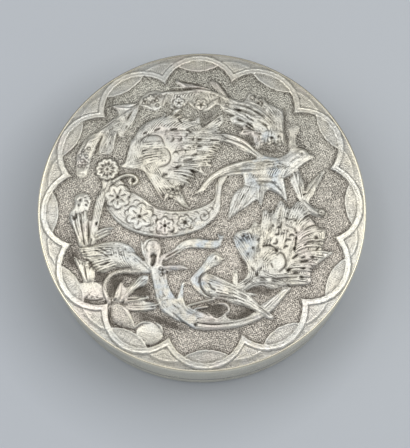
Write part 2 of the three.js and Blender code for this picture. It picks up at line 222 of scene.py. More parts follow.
def cut(cells, amount, depth):
    """Cuts into the sheet, and lets the oxide that stays in a cut darken it"""
    relief[cells] -= depth * amount
    ink[cells] = np.maximum(ink[cells], CUT_INK * amount)


def mound(outline, height=FIGURE_RELIEF, crown=0.5, wall=0.55, hatched=0.4, matted=0.0):
    """Raises a figure with a steep wall and a rounded top, hatched or matted by so much"""
    cells, inside = filled(outline, 3 * crown)
    top = height * (wall * inside + (1 - wall) * crown_of(inside, crown))
    relief[cells] = np.maximum(relief[cells], top)
    ground[cells] = np.where(inside > 0, matted, ground[cells])
    ink[cells] *= 1 - inside
    satin[cells] = np.where(inside > 0, hatched, satin[cells])


def swell(outline, rise=BODY_SWELL, crown=1.2):
    """Lifts part of a figure in a soft swelling, with no wall"""
    cells, inside = filled(outline, 3 * crown)
    relief[cells] += rise * crown_of(inside, crown)


def fade(outline, share):
    """Rubs the oxide out of a figure's cuts, down to a share of it"""
    cells, inside = filled(outline, 0)
    ink[cells] *= 1 - (1 - share) * inside


def dull_patch(outline, matted):
    """Leaves part of a figure a little matted, its edge soft"""
    cells, inside = filled(outline, 1)
    ground[cells] = np.maximum(ground[cells], matted * blurred(inside, 0.4))


def leaf_taper(run):
    """A leaf's width along its length: pointed at both ends, widest before the middle"""
    return np.sin(math.pi * np.clip(run, 0, 1) ** 0.8) ** 0.7


def horn_taper(run):
    """A horn's width: full at its root and pointed at its end"""
    return (1 - np.clip(run, 0, 1)) ** 0.6


def finger_taper(run):
    """A finger's width: full for more than half its length, then rounded to a point"""
    return np.sqrt(1 - np.clip((run - 0.6) / 0.4, 0, 1) ** 2)


def even_taper(run):
    """The same width all along"""
    return np.ones_like(run)


def ridges(strokes, rise=0.3, taper=leaf_taper, parted=0.7):
    """Raises rounded strokes, each a half-width and its points, with a cut along both sides"""
    layer = np.zeros_like(relief)
    for half, *points in strokes:
        line = curve(points)
        cells, x, y = patch(line, half)
        gap, run = along(line, x, y)
        width = half * taper(run)
        across = gap / np.maximum(width, 1e-6)
        top = np.sqrt(np.clip(1 - across ** 2, 0, 1))
        foot = STROKE_FOOT * ground[cells] * np.clip(1.2 - across, 0, 0.5)
        relief[cells] = np.maximum(relief[cells], 2 * foot)
        beside = (1 - ground[cells]) * ridge_line(gap - width, CUT_WIDTH)
        ink[cells] = np.where(across < 0.8, OXIDE_LEFT * ink[cells], np.maximum(ink[cells], parted * beside))
        layer[cells] = np.maximum(layer[cells] * (across > 0.9), rise * top)
        ground[cells] *= across > 1
        strands[cells] = np.where(across < 1, gap, strands[cells])
    relief[:] += layer


def length_of(line):
    """How far it is along a line to each of its points"""
    return np.concatenate([[0], np.cumsum(np.hypot(*np.diff(line, axis=0).T))])


def along_at(line, shares):
    """Points at given shares of a line's length"""
    run = length_of(line)
    return np.stack([np.interp(run[-1] * shares, run, line[:, axis]) for axis in (0, 1)], -1)


def fringe(roots, tips, half=0.38, rise=0.32, bow=0.0, uneven=0.2):
    """Fills the space between two curves with strokes, bowed to one side, some shorter than others"""
    roots, tips = curve(roots), curve(tips)
    widths = [length_of(line)[-1] for line in (roots, tips)]
    count = max(1, round(sum(widths) / 4 / half))
    share = np.linspace(0, 1, round(max(widths) / FRINGE_STEP) + 2)[1:-1]
    root, reach = along_at(roots, share), along_at(tips, share) - along_at(roots, share)
    out = np.linspace(0, 1, round(np.hypot(*reach.T).max() / FRINGE_STEP))
    side = bow * np.stack([-reach[:, 1], reach[:, 0]], -1)
    places = root[:, None] + out[:, None] * reach[:, None] + (4 * out * (1 - out))[:, None] * side[:, None]
    cells = tuple(np.round((places[..., axis] + LID_RADIUS) / GRAIN).astype(int) for axis in (1, 0))
    number = np.floor(share * count)
    run = out / (1 - uneven * (number * GOLDEN % 1))[:, None]
    across = np.abs(2 * (share * count - number) - 1)[:, None] / np.maximum(finger_taper(run), 1e-3)
    stroke, gap = (across < 1) & (run < 1), (across >= 1) & (run < 1)
    top = (np.sqrt(np.clip(1 - across ** 2, 0, 1)) * np.clip(run / FRINGE_START, 0, 1))[stroke]
    inside = tuple(axis[stroke] for axis in cells)
    between = tuple(axis[gap] for axis in cells)
    layer = np.zeros_like(relief)
    layer[inside] = rise * top
    relief[inside] = np.maximum(relief[inside], FRINGE_FOOT * ground[inside] * (0.5 + 0.5 * top))
    relief[:] += layer
    ink[between] = np.maximum(ink[between], FRINGE_INK * (1 - ground[between]))
    ink[inside] *= OXIDE_LEFT
    ground[inside] = 0
    satin[inside] = 1
    strands[inside] = np.broadcast_to(((share * count + 0.5) * STRAND_PITCH)[:, None], run.shape)[stroke]


def grooves(strokes, depth=0.28):
    """Cuts strokes into the figure; each is a half-width and its points"""
    for half, *points in strokes:
        line = curve(points)
        cells, x, y = patch(line, 3 * half)
        gap, run = along(line, x, y)
        ends = GROOVE_END + (1 - GROOVE_END) * np.sin(math.pi * np.clip(run, 0, 1)) ** 0.5
        cut(cells, ridge_line(GROOVE_STEEPNESS * gap, half * ends), depth)


def drills(pits, depth=0.45):
    """Round pits, each (x, y, radius)"""
    for x0, y0, radius in pits:
        cells, _, _, away = round_about(x0, y0, 2.5 * radius)
        cut(cells, ridge_line(away, radius), depth)


def beads(domes, rise=0.35):
    """Round domes with a cut line round each, each (x, y, radius)"""
    for x0, y0, radius in domes:
        cells, _, _, away = round_about(x0, y0, radius + TOOL_MARGIN)
        relief[cells] += rise * np.sqrt(np.clip(1 - (away / radius) ** 2, 0, 1))
        cut(cells, ridge_line(away - radius - BEAD_CUT / 2, BEAD_CUT), 0.6 * rise)


def rings(circles, rise=0.2):
    """Thin raised circles, each (x, y, radius)"""
    for x0, y0, radius in circles:
        cells, _, _, away = round_about(x0, y0, radius + TOOL_MARGIN)
        relief[cells] += rise * ridge_line(away - radius, RING_WIDTH)


def crescents(arcs, depth=0.24):
    """Crescent cuts, each (x, y, radius, facing): a round cut that is deepest on the side it faces"""
    for x0, y0, radius, facing in arcs:
        cells, right, far, away = round_about(x0, y0, radius + TOOL_MARGIN)
        turn = math.radians(facing)
        outward = (right * math.cos(turn) + far * math.sin(turn)) / np.maximum(away, GRAIN)
        side = np.clip(CRESCENT_BACK + CRESCENT_FACE * outward, 0, 1)
        relief[cells] += CRESCENT_LIP * side * ridge_line(away - radius + LIP_INSET, LIP_WIDTH)
        cut(cells, side * ridge_line(away - radius, RING_WIDTH), depth)


def flower(x0, y0, reach, petal, petals=8, turn=0.0, pit=0.32):
    """A chased flower: petals with crescent ends, each split by a short wedge cut, about a drilled eye"""
    pitch = 2 * math.pi / petals
    near, far = (share * reach for share in PETAL_CUT)
    for k in range(petals):
        angle = math.radians(turn) + pitch * k
        across, away = math.cos(angle), math.sin(angle)
        x1, y1 = x0 + reach * across, y0 + reach * away
        cells, _, _, gap = round_about(x1, y1, petal + 0.2)
        inside = gap < petal
        ground[cells] *= ~inside
        relief[cells] += PETAL_RISE * blurred(inside.astype(float), PETAL_SOFT)
        crescents([(x1, y1, petal, math.degrees(angle))], 0.3)
        grooves([(0.3, (x0 + near * across, y0 + near * away), (x0 + far * across, y0 + far * away))], 0.26)
    rings([(x0, y0, 1.9 * pit)], 0.2)
    drills([(x0, y0, pit)], 0.4)


def oval(x0, y0, across, away, angles):
    """Points at given angles on an oval round a middle"""
    return [(x0 + across * math.cos(angle), y0 + away * math.sin(angle)) for angle in angles]


# Outlines of the chased figures
GARLAND = [
    (-27, 8), (-26.6, 3.5), (-26, -0.5), (-24.5, -2.6), (-22.8, -4.6), (-20.6, -6.4), (-17.6, -7.8),
    (-14, -8.7), (-10, -9), (-6, -8.6), (-2, -7.4), (1.2, -5.6), (3.6, -3.7), (4.9, -1.4), (5.2, 2),
    (5.6, 5), (7, 7.8), (5.2, 7.9), (3.7, 5.4), (3.4, 2), (2.8, 0.4), (1, -0.6), (-2.2, -1.7),
    (-5.5, -2.1), (-9, -2), (-12.4, -1.2), (-14.8, 0.2), (-16.6, 2), (-18.6, 3.1), (-20.4, 5.2),
    (-22.4, 7.4),
]
FLYING_BIRD = [
    (-1.7, 3.2), (0.2, 5.1), (1.8, 7.6), (4.2, 9.3), (7, 10.8), (11, 12.1), (15, 12.9), (11.5, 14.7),
    (8, 16.8), (3.5, 18.6), (6.5, 20.1), (10, 19.1), (12.6, 17.7), (15, 15.2), (17.5, 13.6), (21, 13.2),
    (23.6, 14.6), (24.6, 17), (26.2, 16.2), (28.4, 15.6), (29.4, 14.4), (30.9, 13.5), (28.6, 12),
    (26.6, 10.3), (24.6, 8.2), (21.8, 6.6), (22.5, 3.4), (22.6, 1.2), (20.2, 2.8), (18, 3.8), (17, 2.2),
    (16, -0.7), (14.8, 1), (12.6, -0.4), (10, -2.2), (7.1, -4.1), (7.4, -1), (8.2, 2), (9.6, 3.9),
    (11.3, 5.2), (11.1, 8), (9.2, 8.6), (6.4, 8.2), (3.9, 7.2), (1.8, 5.2), (0.3, 3.5),
]
UPPER_LEAF = [
    (-22.2, 11), (-20, 12.6), (-19, 14.8), (-19.8, 17.2), (-18.4, 19.4), (-17.2, 21.6), (-15.4, 23.2),
    (-12.6, 24.6), (-10, 25), (-8, 24.5), (-5.4, 25.1), (-4.6, 23.8), (-2.2, 24), (-0.4, 25), (0, 22.4),
    (2, 21.1), (3.6, 22), (5, 24.2), (5.8, 26.2), (6, 23.4), (4.4, 21), (5.4, 19.9), (7.8, 18.4),
    (5.8, 17.4), (3.6, 16.8), (4.8, 15.4), (2.4, 14.4), (3.6, 12.8), (1.4, 12), (2.8, 10.8), (0, 10),
    (1.4, 8.3), (-1, 8.8), (-3, 9.3), (-5, 8.2), (-3.9, 6.7), (-2.8, 4.9), (-4.6, 5.5), (-6, 4.8),
    (-5.6, 3.2), (-4.8, 1.4), (-3.2, -1.2), (-5.6, -0.3), (-7.3, 1), (-9, 2), (-10.1, 1), (-10.2, 2.7),
    (-11.6, 4.6), (-13.2, 6.6), (-14.6, 8.7), (-17, 10), (-19.8, 10.3),
]
UPPER_WING = [
    (5, 28.4), (5.4, 30.4), (8.4, 30), (10.8, 29.2), (12.2, 30), (13.4, 32), (14.8, 31.2), (15.6, 29.6),
    (17.2, 31), (18.2, 29.6), (19.4, 28.4), (20.4, 26.4), (22.4, 27.2), (22.8, 24), (22.7, 20.6),
    (23.2, 17.4), (21.4, 16.4), (19.6, 17.2), (17.2, 16.8), (15.2, 15.6), (14.4, 17.2), (13.8, 19.2),
    (10.4, 19.8), (11.4, 21.4), (8.6, 22.8), (7.6, 24.6), (9, 25.2), (6.4, 26.5),
]
SPRAY_LEAF = [
    (-16.9, 29), (-19.4, 26.6), (-20.4, 24), (-20.8, 21.6), (-21.4, 19.6), (-22.8, 20.6), (-23.4, 19),
    (-23.8, 16.6), (-24.6, 14.9), (-26.6, 14.4), (-28.1, 15), (-28, 17.2), (-27, 20), (-29, 18.8),
    (-30, 17), (-30.3, 14.4), (-31.2, 10.6), (-32, 8.8), (-33.2, 8.8), (-34, 10.6), (-34.1, 15),
    (-33, 17.4), (-31.4, 19.5), (-29.4, 20.9), (-27.4, 22.6), (-25, 24.4), (-22.8, 26.2), (-25.1, 29),
    (-22.4, 28.2), (-19.8, 28.4),
]
CROUCHING_BIRD = [
    (-33.2, -11.3), (-30.6, -11), (-28, -10.4), (-24, -9.8), (-21, -10.3), (-18.6, -11.8), (-17.4, -13.8),
    (-15.7, -15.4), (-16, -12.4), (-15.7, -10.2), (-14.4, -9.3), (-12.5, -9.3), (-11.3, -10.4),
    (-11.1, -12.6), (-11.6, -14.8), (-12.2, -17), (-13.4, -18.6), (-17.4, -18.6), (-20, -17.6),
    (-23.4, -17.3), (-26.4, -18.3), (-28.8, -17.2), (-29.6, -15.6), (-31.4, -14.4), (-32.6, -13),
]
TAIL_PLUMES = [
    (-34.4, 1), (-34.6, 2.6), (-33.2, 3.8), (-31.2, 3.6), (-30.2, 2), (-30.4, 0.2), (-31, -2),
    (-30.6, -3.6), (-29.8, -3.6), (-29.4, -1), (-28.6, 1.6), (-27.4, 4.6), (-26, 6.7), (-24.8, 6),
    (-26.4, 3.2), (-27.4, 0.4), (-27.2, -3.4), (-28, -6), (-28.3, -8), (-28.6, -10.2), (-31, -10.8),
    (-33.2, -10.9), (-34, -8), (-34.8, -5.6), (-36, -3.6), (-35.8, -1.4), (-34.9, -0.4),
]
TRUNK = [
    (-13.2, -16.6), (-13.8, -19), (-13, -22), (-12.7, -24.6), (-12, -27), (-10.8, -29), (-8.4, -30.3),
    (-6.2, -31.2), (-4.4, -32.4), (-2.6, -33.5), (0, -34), (4, -33.9), (8, -33.6), (12, -32.5),
    (15.6, -31), (18.2, -29), (20.2, -26.8), (22, -24.6), (23.4, -22.8), (21.8, -22.2), (20, -24.2),
    (17.4, -26), (15, -27.6), (12.6, -29.9), (8.8, -31.2), (6.2, -30.4), (7, -28.6), (3.6, -30.9),
    (0.2, -29.4), (-2, -28.6), (-4, -27.4), (-5, -25.4), (-5.3, -22.2), (-6.8, -25.6), (-8.8, -23.6),
    (-9.8, -21), (-10, -18.6), (-7, -18), (-4.2, -17.5), (-5.6, -16.5), (-8.2, -16.7), (-10.6, -16.6),
    (-10.4, -14.4), (-7.8, -13.3), (-5, -12), (-2, -12), (1, -12.2), (3, -12.3), (4.7, -11.2),
    (5.9, -8.4), (4.2, -9.9), (1.4, -9.8), (-1.6, -9.3), (-4, -9.6), (-5.6, -11), (-8.4, -12.7),
    (-11.1, -13.9), (-11.8, -15.6),
]
PERCHED_BIRD = [
    (3.2, -13.1), (4.5, -13.5), (5.1, -14.6), (6.1, -15.2), (4.9, -15.9), (4.1, -16.7), (2.7, -17.4),
    (1.1, -18.7), (2.4, -19.8), (4.6, -20.6), (8, -22.2), (10.2, -23.4), (12.7, -25), (14.6, -27.3),
    (16.6, -28.9), (18.7, -30.4), (17.8, -31.1), (15.2, -30.1), (13.4, -28.9), (11.2, -27.8), (8, -27),
    (5, -25.9), (2, -25.7), (0.2, -25), (-1.5, -23.8), (-2.9, -22), (-3.3, -20.4), (-2.5, -19.2),
    (-1, -17.7), (0.4, -15.9), (1.6, -14.2),
]
LOWER_LEAF = [
    (9, -22), (11.2, -20.3), (12.1, -18.4), (11.4, -16), (10.1, -14), (9, -12), (8.3, -9.6), (9.2, -8),
    (10.6, -7.2), (12.4, -6.9), (13.3, -5.9), (14.3, -4.7), (15.3, -5.7), (16, -4.2), (16.4, -1.8),
    (17.5, -1.6), (18.4, -2.5), (19.3, -1.9), (20.4, 0), (21.2, 1), (22.2, 0.4), (23.2, -1.2),
    (24.4, -0.7), (26.2, 1.2), (28.4, 0.4), (29, -1.4), (29, -3.2), (30.1, -4.8), (31.2, -6.4),
    (33.2, -7.2), (33, -9.8), (32.2, -12.4), (35.1, -13), (33, -14.8), (31.2, -16.1), (29.7, -17.4),
    (29, -19.2), (29.1, -21.1), (27.4, -22), (24, -22.1), (21, -22.9), (18.4, -23.1), (15.4, -22.3),
    (12.6, -23.1), (10.6, -24.1),
]
SIDE_LEAVES = [
    (26.2, 1.2), (25.2, 3.8), (24, 6.6), (24.8, 8.4), (26.2, 10), (26.8, 8.4), (27.8, 5.6), (28, 3.6),
    (29, 5.6), (31, 7.8), (33.5, 9.7), (32.8, 7.6), (31.4, 5), (30.2, 2.6), (29, 0.6), (30.6, -1.1),
    (32.4, -1.1), (34, -2.5), (32.6, -3.5), (30.6, -3.3), (28.6, -2.6), (27.6, -1),
]
LEFT_LEAF = [
    (-34.6, -13.6), (-32.8, -14.6), (-31.6, -15.2), (-30.2, -16.2), (-28.9, -17.4), (-29.2, -20.3),
    (-31.7, -20.9), (-32.6, -18.6), (-33.7, -16.2),
]
LEFT_FRUIT = [
    (-34.9, -21.7), (-33.2, -20.9), (-31.4, -20.6), (-29.2, -20.5), (-27.4, -21.3), (-26.1, -22.9),
    (-25.5, -25.2), (-27, -25.7), (-29.6, -25.9), (-32.4, -25), (-34.6, -23.6),
]
LOWER_POD = [
    (-25, -27.1), (-22.6, -26.7), (-21, -27.6), (-19.7, -29), (-18.8, -31), (-17.6, -33.3), (-20.2, -33),
    (-22.6, -32.4), (-24.2, -30.8), (-24.9, -28.8),
]
LOWER_BUD = [
    (-17.6, -33.5), (-15.8, -32.2), (-14.8, -31.4), (-12.8, -32.2), (-11.1, -34), (-10.7, -35.6),
    (-12, -36.9), (-14.4, -37.6), (-16.2, -36.8), (-17.6, -35.2),
]
NOTCHED_LEAF = [
    (-24.2, -25.9), (-22.9, -23), (-21.8, -20.9), (-20.4, -22.4), (-18, -20.5), (-16.4, -19.2),
    (-14.4, -19.6), (-15.4, -22), (-18, -23.3), (-19.8, -24.8), (-14.4, -24.9), (-15.6, -26),
    (-12.4, -26.8), (-13, -28.4), (-18.4, -28.4), (-20.6, -26.6),
]

# Parts of the figures that swell higher
FLYING_BODY = [
    (4.6, 8.6), (8.6, 10.4), (12.6, 11.5), (17, 12), (21, 12.2), (24.4, 14), (26.6, 15.4), (28.4, 14.2),
    (27.2, 12.2), (25, 10.4), (22.6, 8), (19.4, 7.1), (14.4, 7.4), (9.4, 9.3),
]
CROUCHING_BODY = [
    (-29.4, -12.2), (-25.4, -10.9), (-21.6, -11.4), (-19, -13), (-16.6, -15.4), (-15.2, -17.3),
    (-19.4, -16.8), (-24, -16.1), (-27.6, -15),
]
PERCHED_BODY = [
    (3.3, -13.9), (4.3, -14.8), (2.6, -16.2), (0.9, -18.2), (2.4, -20.8), (6.6, -22.6), (10, -24.6),
    (7.4, -25.4), (3.4, -24.8), (0.2, -23.8), (-1.6, -21.8), (-1.8, -20), (0, -17.6), (1.6, -15.2),
]
UPPER_LEAF_HEART = [
    (-17, 13), (-15.6, 17.6), (-12.6, 20), (-8, 21.4), (-3, 20.8), (1.6, 18.4), (-1, 14.4), (-4.6, 11.6),
    (-8, 7.4), (-11, 6.2), (-14, 9.4),
]
LOWER_LEAF_HEART = [
    (13, -19.4), (13.2, -14.6), (13, -9.6), (16.2, -7.2), (19, -4.6), (22, -3), (25, -3.6), (28.2, -7.6),
    (30, -10.6), (27, -14.6), (24.6, -18.6), (19.4, -20.6),
]
UPPER_WING_HEART = [
    (9, 27.6), (13.4, 28.6), (17.2, 27.2), (20, 23.6), (21, 19.6), (18, 18.8), (14.8, 20.6), (11.6, 24),
]

# Smaller outlines
NECK_FEATHER = [
    (26.8, 22.5), (24.8, 22.5), (23.9, 21.4), (24.1, 19), (23.9, 16.6), (25.2, 15), (27.4, 15.6),
    (26.2, 16.8), (25.8, 18.4), (26.7, 20.4),
]
TWIG_FOLIAGE = [
    (-10.2, 32), (-9.6, 30.2), (-8.6, 28.4), (-7, 27.3), (-5.2, 27.6), (-4, 29.2), (-2.5, 28.8),
    (-1.5, 27), (0, 26.1), (1.4, 26.7), (2.6, 28.4), (4.6, 28.6), (6.4, 27.6), (8, 29), (6, 31),
    (3, 32.4), (0, 33.2), (-4, 33), (-8, 32.4),
]
TWIG_LEAF = [
    (-7.2, 36), (-4.6, 35.4), (-2.2, 34.8), (0.6, 34.1), (2.8, 33.4), (0, 33.2), (-4, 33.4), (-6.2, 34.6),
]
GRAIN_CLUSTER = [
    (-34.2, 9.4), (-33, 8.3), (-31.5, 8.7), (-30.8, 11), (-30.1, 14), (-28.6, 17.8), (-27.2, 20.4),
    (-29.6, 21), (-32, 19.2), (-33.7, 16), (-34.2, 12.6),
]
SMALL_BUD = [(8.2, -18.2), (9.3, -18.4), (9.6, -20.4), (9, -22.7), (8, -21.6), (8.1, -19.8)]


def garland():
    """The band of flowers that hangs under the large leaf"""
    mound(GARLAND, 0.6, crown=0.35, hatched=0.45, matted=0.2)
    swell([
        (-24, 3), (-19.6, 1), (-13, -3.4), (-6, -4), (1, -3), (3.6, 0), (4.6, 4), (2.4, -3.2), (-2, -6),
        (-8, -7.6), (-14, -7.2), (-20, -4.4), (-24, -0.6),
    ], 0.2)
    ridges([
        (0.4, (-27.2, 6.4), (-24.6, -1.8), (-20.4, -6), (-14, -8.3), (-8, -8.7), (-1, -7), (3.4, -4)),
    ], 0.22)
    ridges([(0.45, (-19.8, 4), (-16, 1.6), (-12, -1.4), (-6, -2.2), (-1, -1.4), (3.2, 1), (4, 5))], 0.22)
    rosette(-25.7, 10.3)
    flower(-22.8, 2.4, 2.5, 1.15, petals=7, turn=14)
    flower(-16.8, -3.2, 2.55, 1.2, petals=6, turn=18)
    flower(-10, -5.9, 1.75, 0.85, petals=6, turn=30)
    flower(-4.6, -5, 1.4, 0.7, petals=6, turn=15, pit=0.4)
    crescents([
        (0.7, -3.6, 1.1, 200), (0.4, -3.2, 1.5, 20), (-1.4, -4.6, 0.7, 160), (-12.9, -3.6, 0.8, 60),
        (-7.2, -3.4, 0.8, 80), (-9.6, -3, 0.6, 100), (-1.6, -2.8, 0.7, 70), (-13.4, -6.8, 0.8, 240),
        (-7.2, -7.4, 0.7, 280), (-24.6, 6.6, 0.8, 200), (-19.6, 3.2, 0.7, 60), (2.4, -1.6, 0.6, 40),
    ], 0.2)
    crescents([
        (-16.8, -3.2, 0.7, 0), (-16.8, -3.2, 0.7, 180), (-22.8, 2.4, 0.7, 90), (-22.8, 2.4, 0.7, 270),
        (-17.6, 0.4, 1, 90), (-19.9, -2.2, 0.9, 160), (-14, -1.4, 0.9, 40), (-14, -5, 0.9, 330),
        (-21, 4.9, 0.9, 60), (-25.4, 0.6, 0.9, 200), (-11.6, -7.4, 0.7, 230), (-8.2, -7, 0.7, 300),
        (-11.8, -4.6, 0.6, 140), (-3, -6.2, 0.6, 300), (-5.8, -6.6, 0.6, 250), (1.6, -5, 0.7, 300),
    ], 0.2)
    drills([(-16.8, -3.2, 0.5), (-22.8, 2.4, 0.4), (-10, -5.9, 0.36), (-4.6, -5, 0.34)], 0.5)
    drills([
        (0.6, -3, 0.4), (-24.4, 6.4, 0.3), (-19.6, 2.2, 0.3), (-12.2, -4.4, 0.24), (-8, -4.2, 0.2),
    ], 0.3)
    grooves([
        (0.2, (4.3, 7.2), (4.2, 3.6), (2.6, -1.6), (-0.4, -4)), (0.2, (-27.4, 7), (-25, -1), (-21, -5)),
    ], 0.15)


def rosette(x0, y0):
    """The round flower where the garland begins: an inner and an outer ring of petals"""
    mound(oval(x0, y0, 3.4, 3.3, np.linspace(0, 5.6, 9)), 0.55, 0.4, hatched=0.3, matted=0.3)
    flower(x0, y0, 2.5, 0.8, petals=11, turn=10, pit=0.34)
    inner, outer = np.linspace(0.3, 6.58, 7)[:6], np.linspace(0.1, 6.38, 12)[:11]
    inner_petals, outer_petals = oval(x0, y0, 1.15, 1.15, inner), oval(x0, y0, 2.9, 2.8, outer)
    crescents([(x, y, 0.5, math.degrees(a)) for (x, y), a in zip(inner_petals, inner)], 0.24)
    crescents([(x, y, 0.6, math.degrees(a)) for (x, y), a in zip(outer_petals, outer)], 0.2)


def curled_tendril():
    """The tendril that rolls up beside the garland"""
    ridges([
        (0.55, (-24, 6.6), (-22, 7.9), (-19.8, 8.4), (-18, 7.8), (-17.5, 6.6), (-18.4, 5.7)),
    ], 0.7, even_taper)
    mound([(-19.8, 7.2), (-19, 8), (-17.8, 7.6), (-17.6, 6.4), (-18.6, 5.6), (-19.6, 6.1)], 0.5)
    drills([(-18.7, 6.9, 0.45), (-18.7, 6.8, 0.3)], 0.5)


def flying_bird():
    """The large bird that flies to the right over the garland"""
    mound(FLYING_BIRD, 0.62, hatched=0.25)
    mound(NECK_FEATHER, 0.4, crown=0.9, hatched=1, matted=0.3)
    swell(FLYING_BODY, 0.38)
    ridges([
        (0.4, (-1, 3.6), (1.4, 6.6), (4.6, 9.2), (9, 11), (14, 12.1), (20, 12.4)),
        (0.5, (0.2, 4.4), (3, 7.2), (7, 9), (12, 9.8), (17, 9.6)),
        (0.4, (4, 7.6), (8, 8.4), (13, 8.4), (18, 8)),
        (0.4, (22.2, 7.2), (24.6, 9.3), (27.4, 11.4), (30.7, 13.4)),
    ], 0.14)
    fringe([(15.6, 11.6), (16.4, 8.4)], [(22.6, 13), (23.4, 9.4)], 0.4, 0.08, bow=0.05, uneven=0.3)
    grooves([
        (0.22, (0.4, 4), (2.6, 6.7), (6, 8.8), (10.6, 10.4), (15.4, 11.2)),
        (0.22, (2.4, 5.4), (5, 7.6), (9.6, 9), (15.6, 9.3)),
        (0.28, (14.6, 6.3), (17.4, 6.2), (20.4, 5.9)), (0.25, (16.4, 11.6), (17.8, 12), (19.6, 11.6)),
        (0.2, (24, 11.6), (25.4, 12.8), (27, 13)),
    ])
    fringe([(11.4, 5.4), (14.4, 6)], [(7, -4.2), (10.8, -1.8)], 0.42, uneven=0.1)
    fringe([(14.8, 5.6), (17.6, 5)], [(15, 0.6), (16.6, 0.6)])
    ridges([
        (0.6, (16.6, 5.4), (15.9, 2.4), (16, -1)), (0.7, (18.4, 5.6), (21, 3.4), (22.9, 0.6)),
        (0.6, (21.8, 6.8), (22.4, 4), (23, 0.4)), (0.4, (18.6, 4.6), (20.4, 3.4), (22, 1.8)),
    ], 0.35, horn_taper)
    fringe([(12, 7.2), (22.4, 7.4)], [(14, 9.6), (24.6, 10.8)], 0.32, 0.1, bow=0.1, uneven=0.35)
    fringe([(4.6, 9), (13.4, 11.6)], [(8.8, 9.3), (17.2, 10.6)], 0.32, 0.1, uneven=0.3)
    grooves([
        (0.22, (12.9, 4), (10.4, 1), (8.6, -2)), (0.22, (14.4, 3), (12.4, 0.4), (10.2, -1.4)),
        (0.25, (11.3, 5.3), (12.8, 4.6), (14, 4.6)), (0.25, (20.6, 5.2), (20.9, 4.4), (21.6, 3.6)),
    ], 0.2)
    fade(FLYING_BIRD, 0.65)
    swell([
        (25, 13.4), (26, 15.4), (28, 15.7), (29.4, 14.6), (29.2, 12.8), (27.4, 11.6), (25.6, 12),
    ], 0.35, 0.9)
    rings([(27.4, 14.2, 1.05)], 0.26)
    drills([
        (27.4, 14.2, 0.35), (19.6, 11, 0.25), (20.6, 10.6, 0.25), (22, 11, 0.22), (21.2, 11.4, 0.2),
    ], 0.22)
    ridges([
        (0.6, (15.6, 12.8), (12.6, 15.4), (8.6, 17.4), (3.4, 18.6)),
        (0.5, (14.8, 14.6), (12.4, 17), (9.6, 18.8), (5.4, 19.9)),
        (0.35, (25, 15.6), (24.3, 18.4), (24.6, 21.8)),
    ], 0.2)
    grooves([
        (0.2, (14.9, 13.8), (12, 16.4), (8, 18.2), (5, 18.9)), (0.2, (25.9, 20), (27.4, 18.9)),
        (0.2, (26.2, 18.9), (28.2, 17.6)), (0.2, (26.6, 17.8), (29, 16.4)),
        (0.22, (26, 16.2), (27.6, 16.2), (29.4, 15.2)),
    ], 0.25)


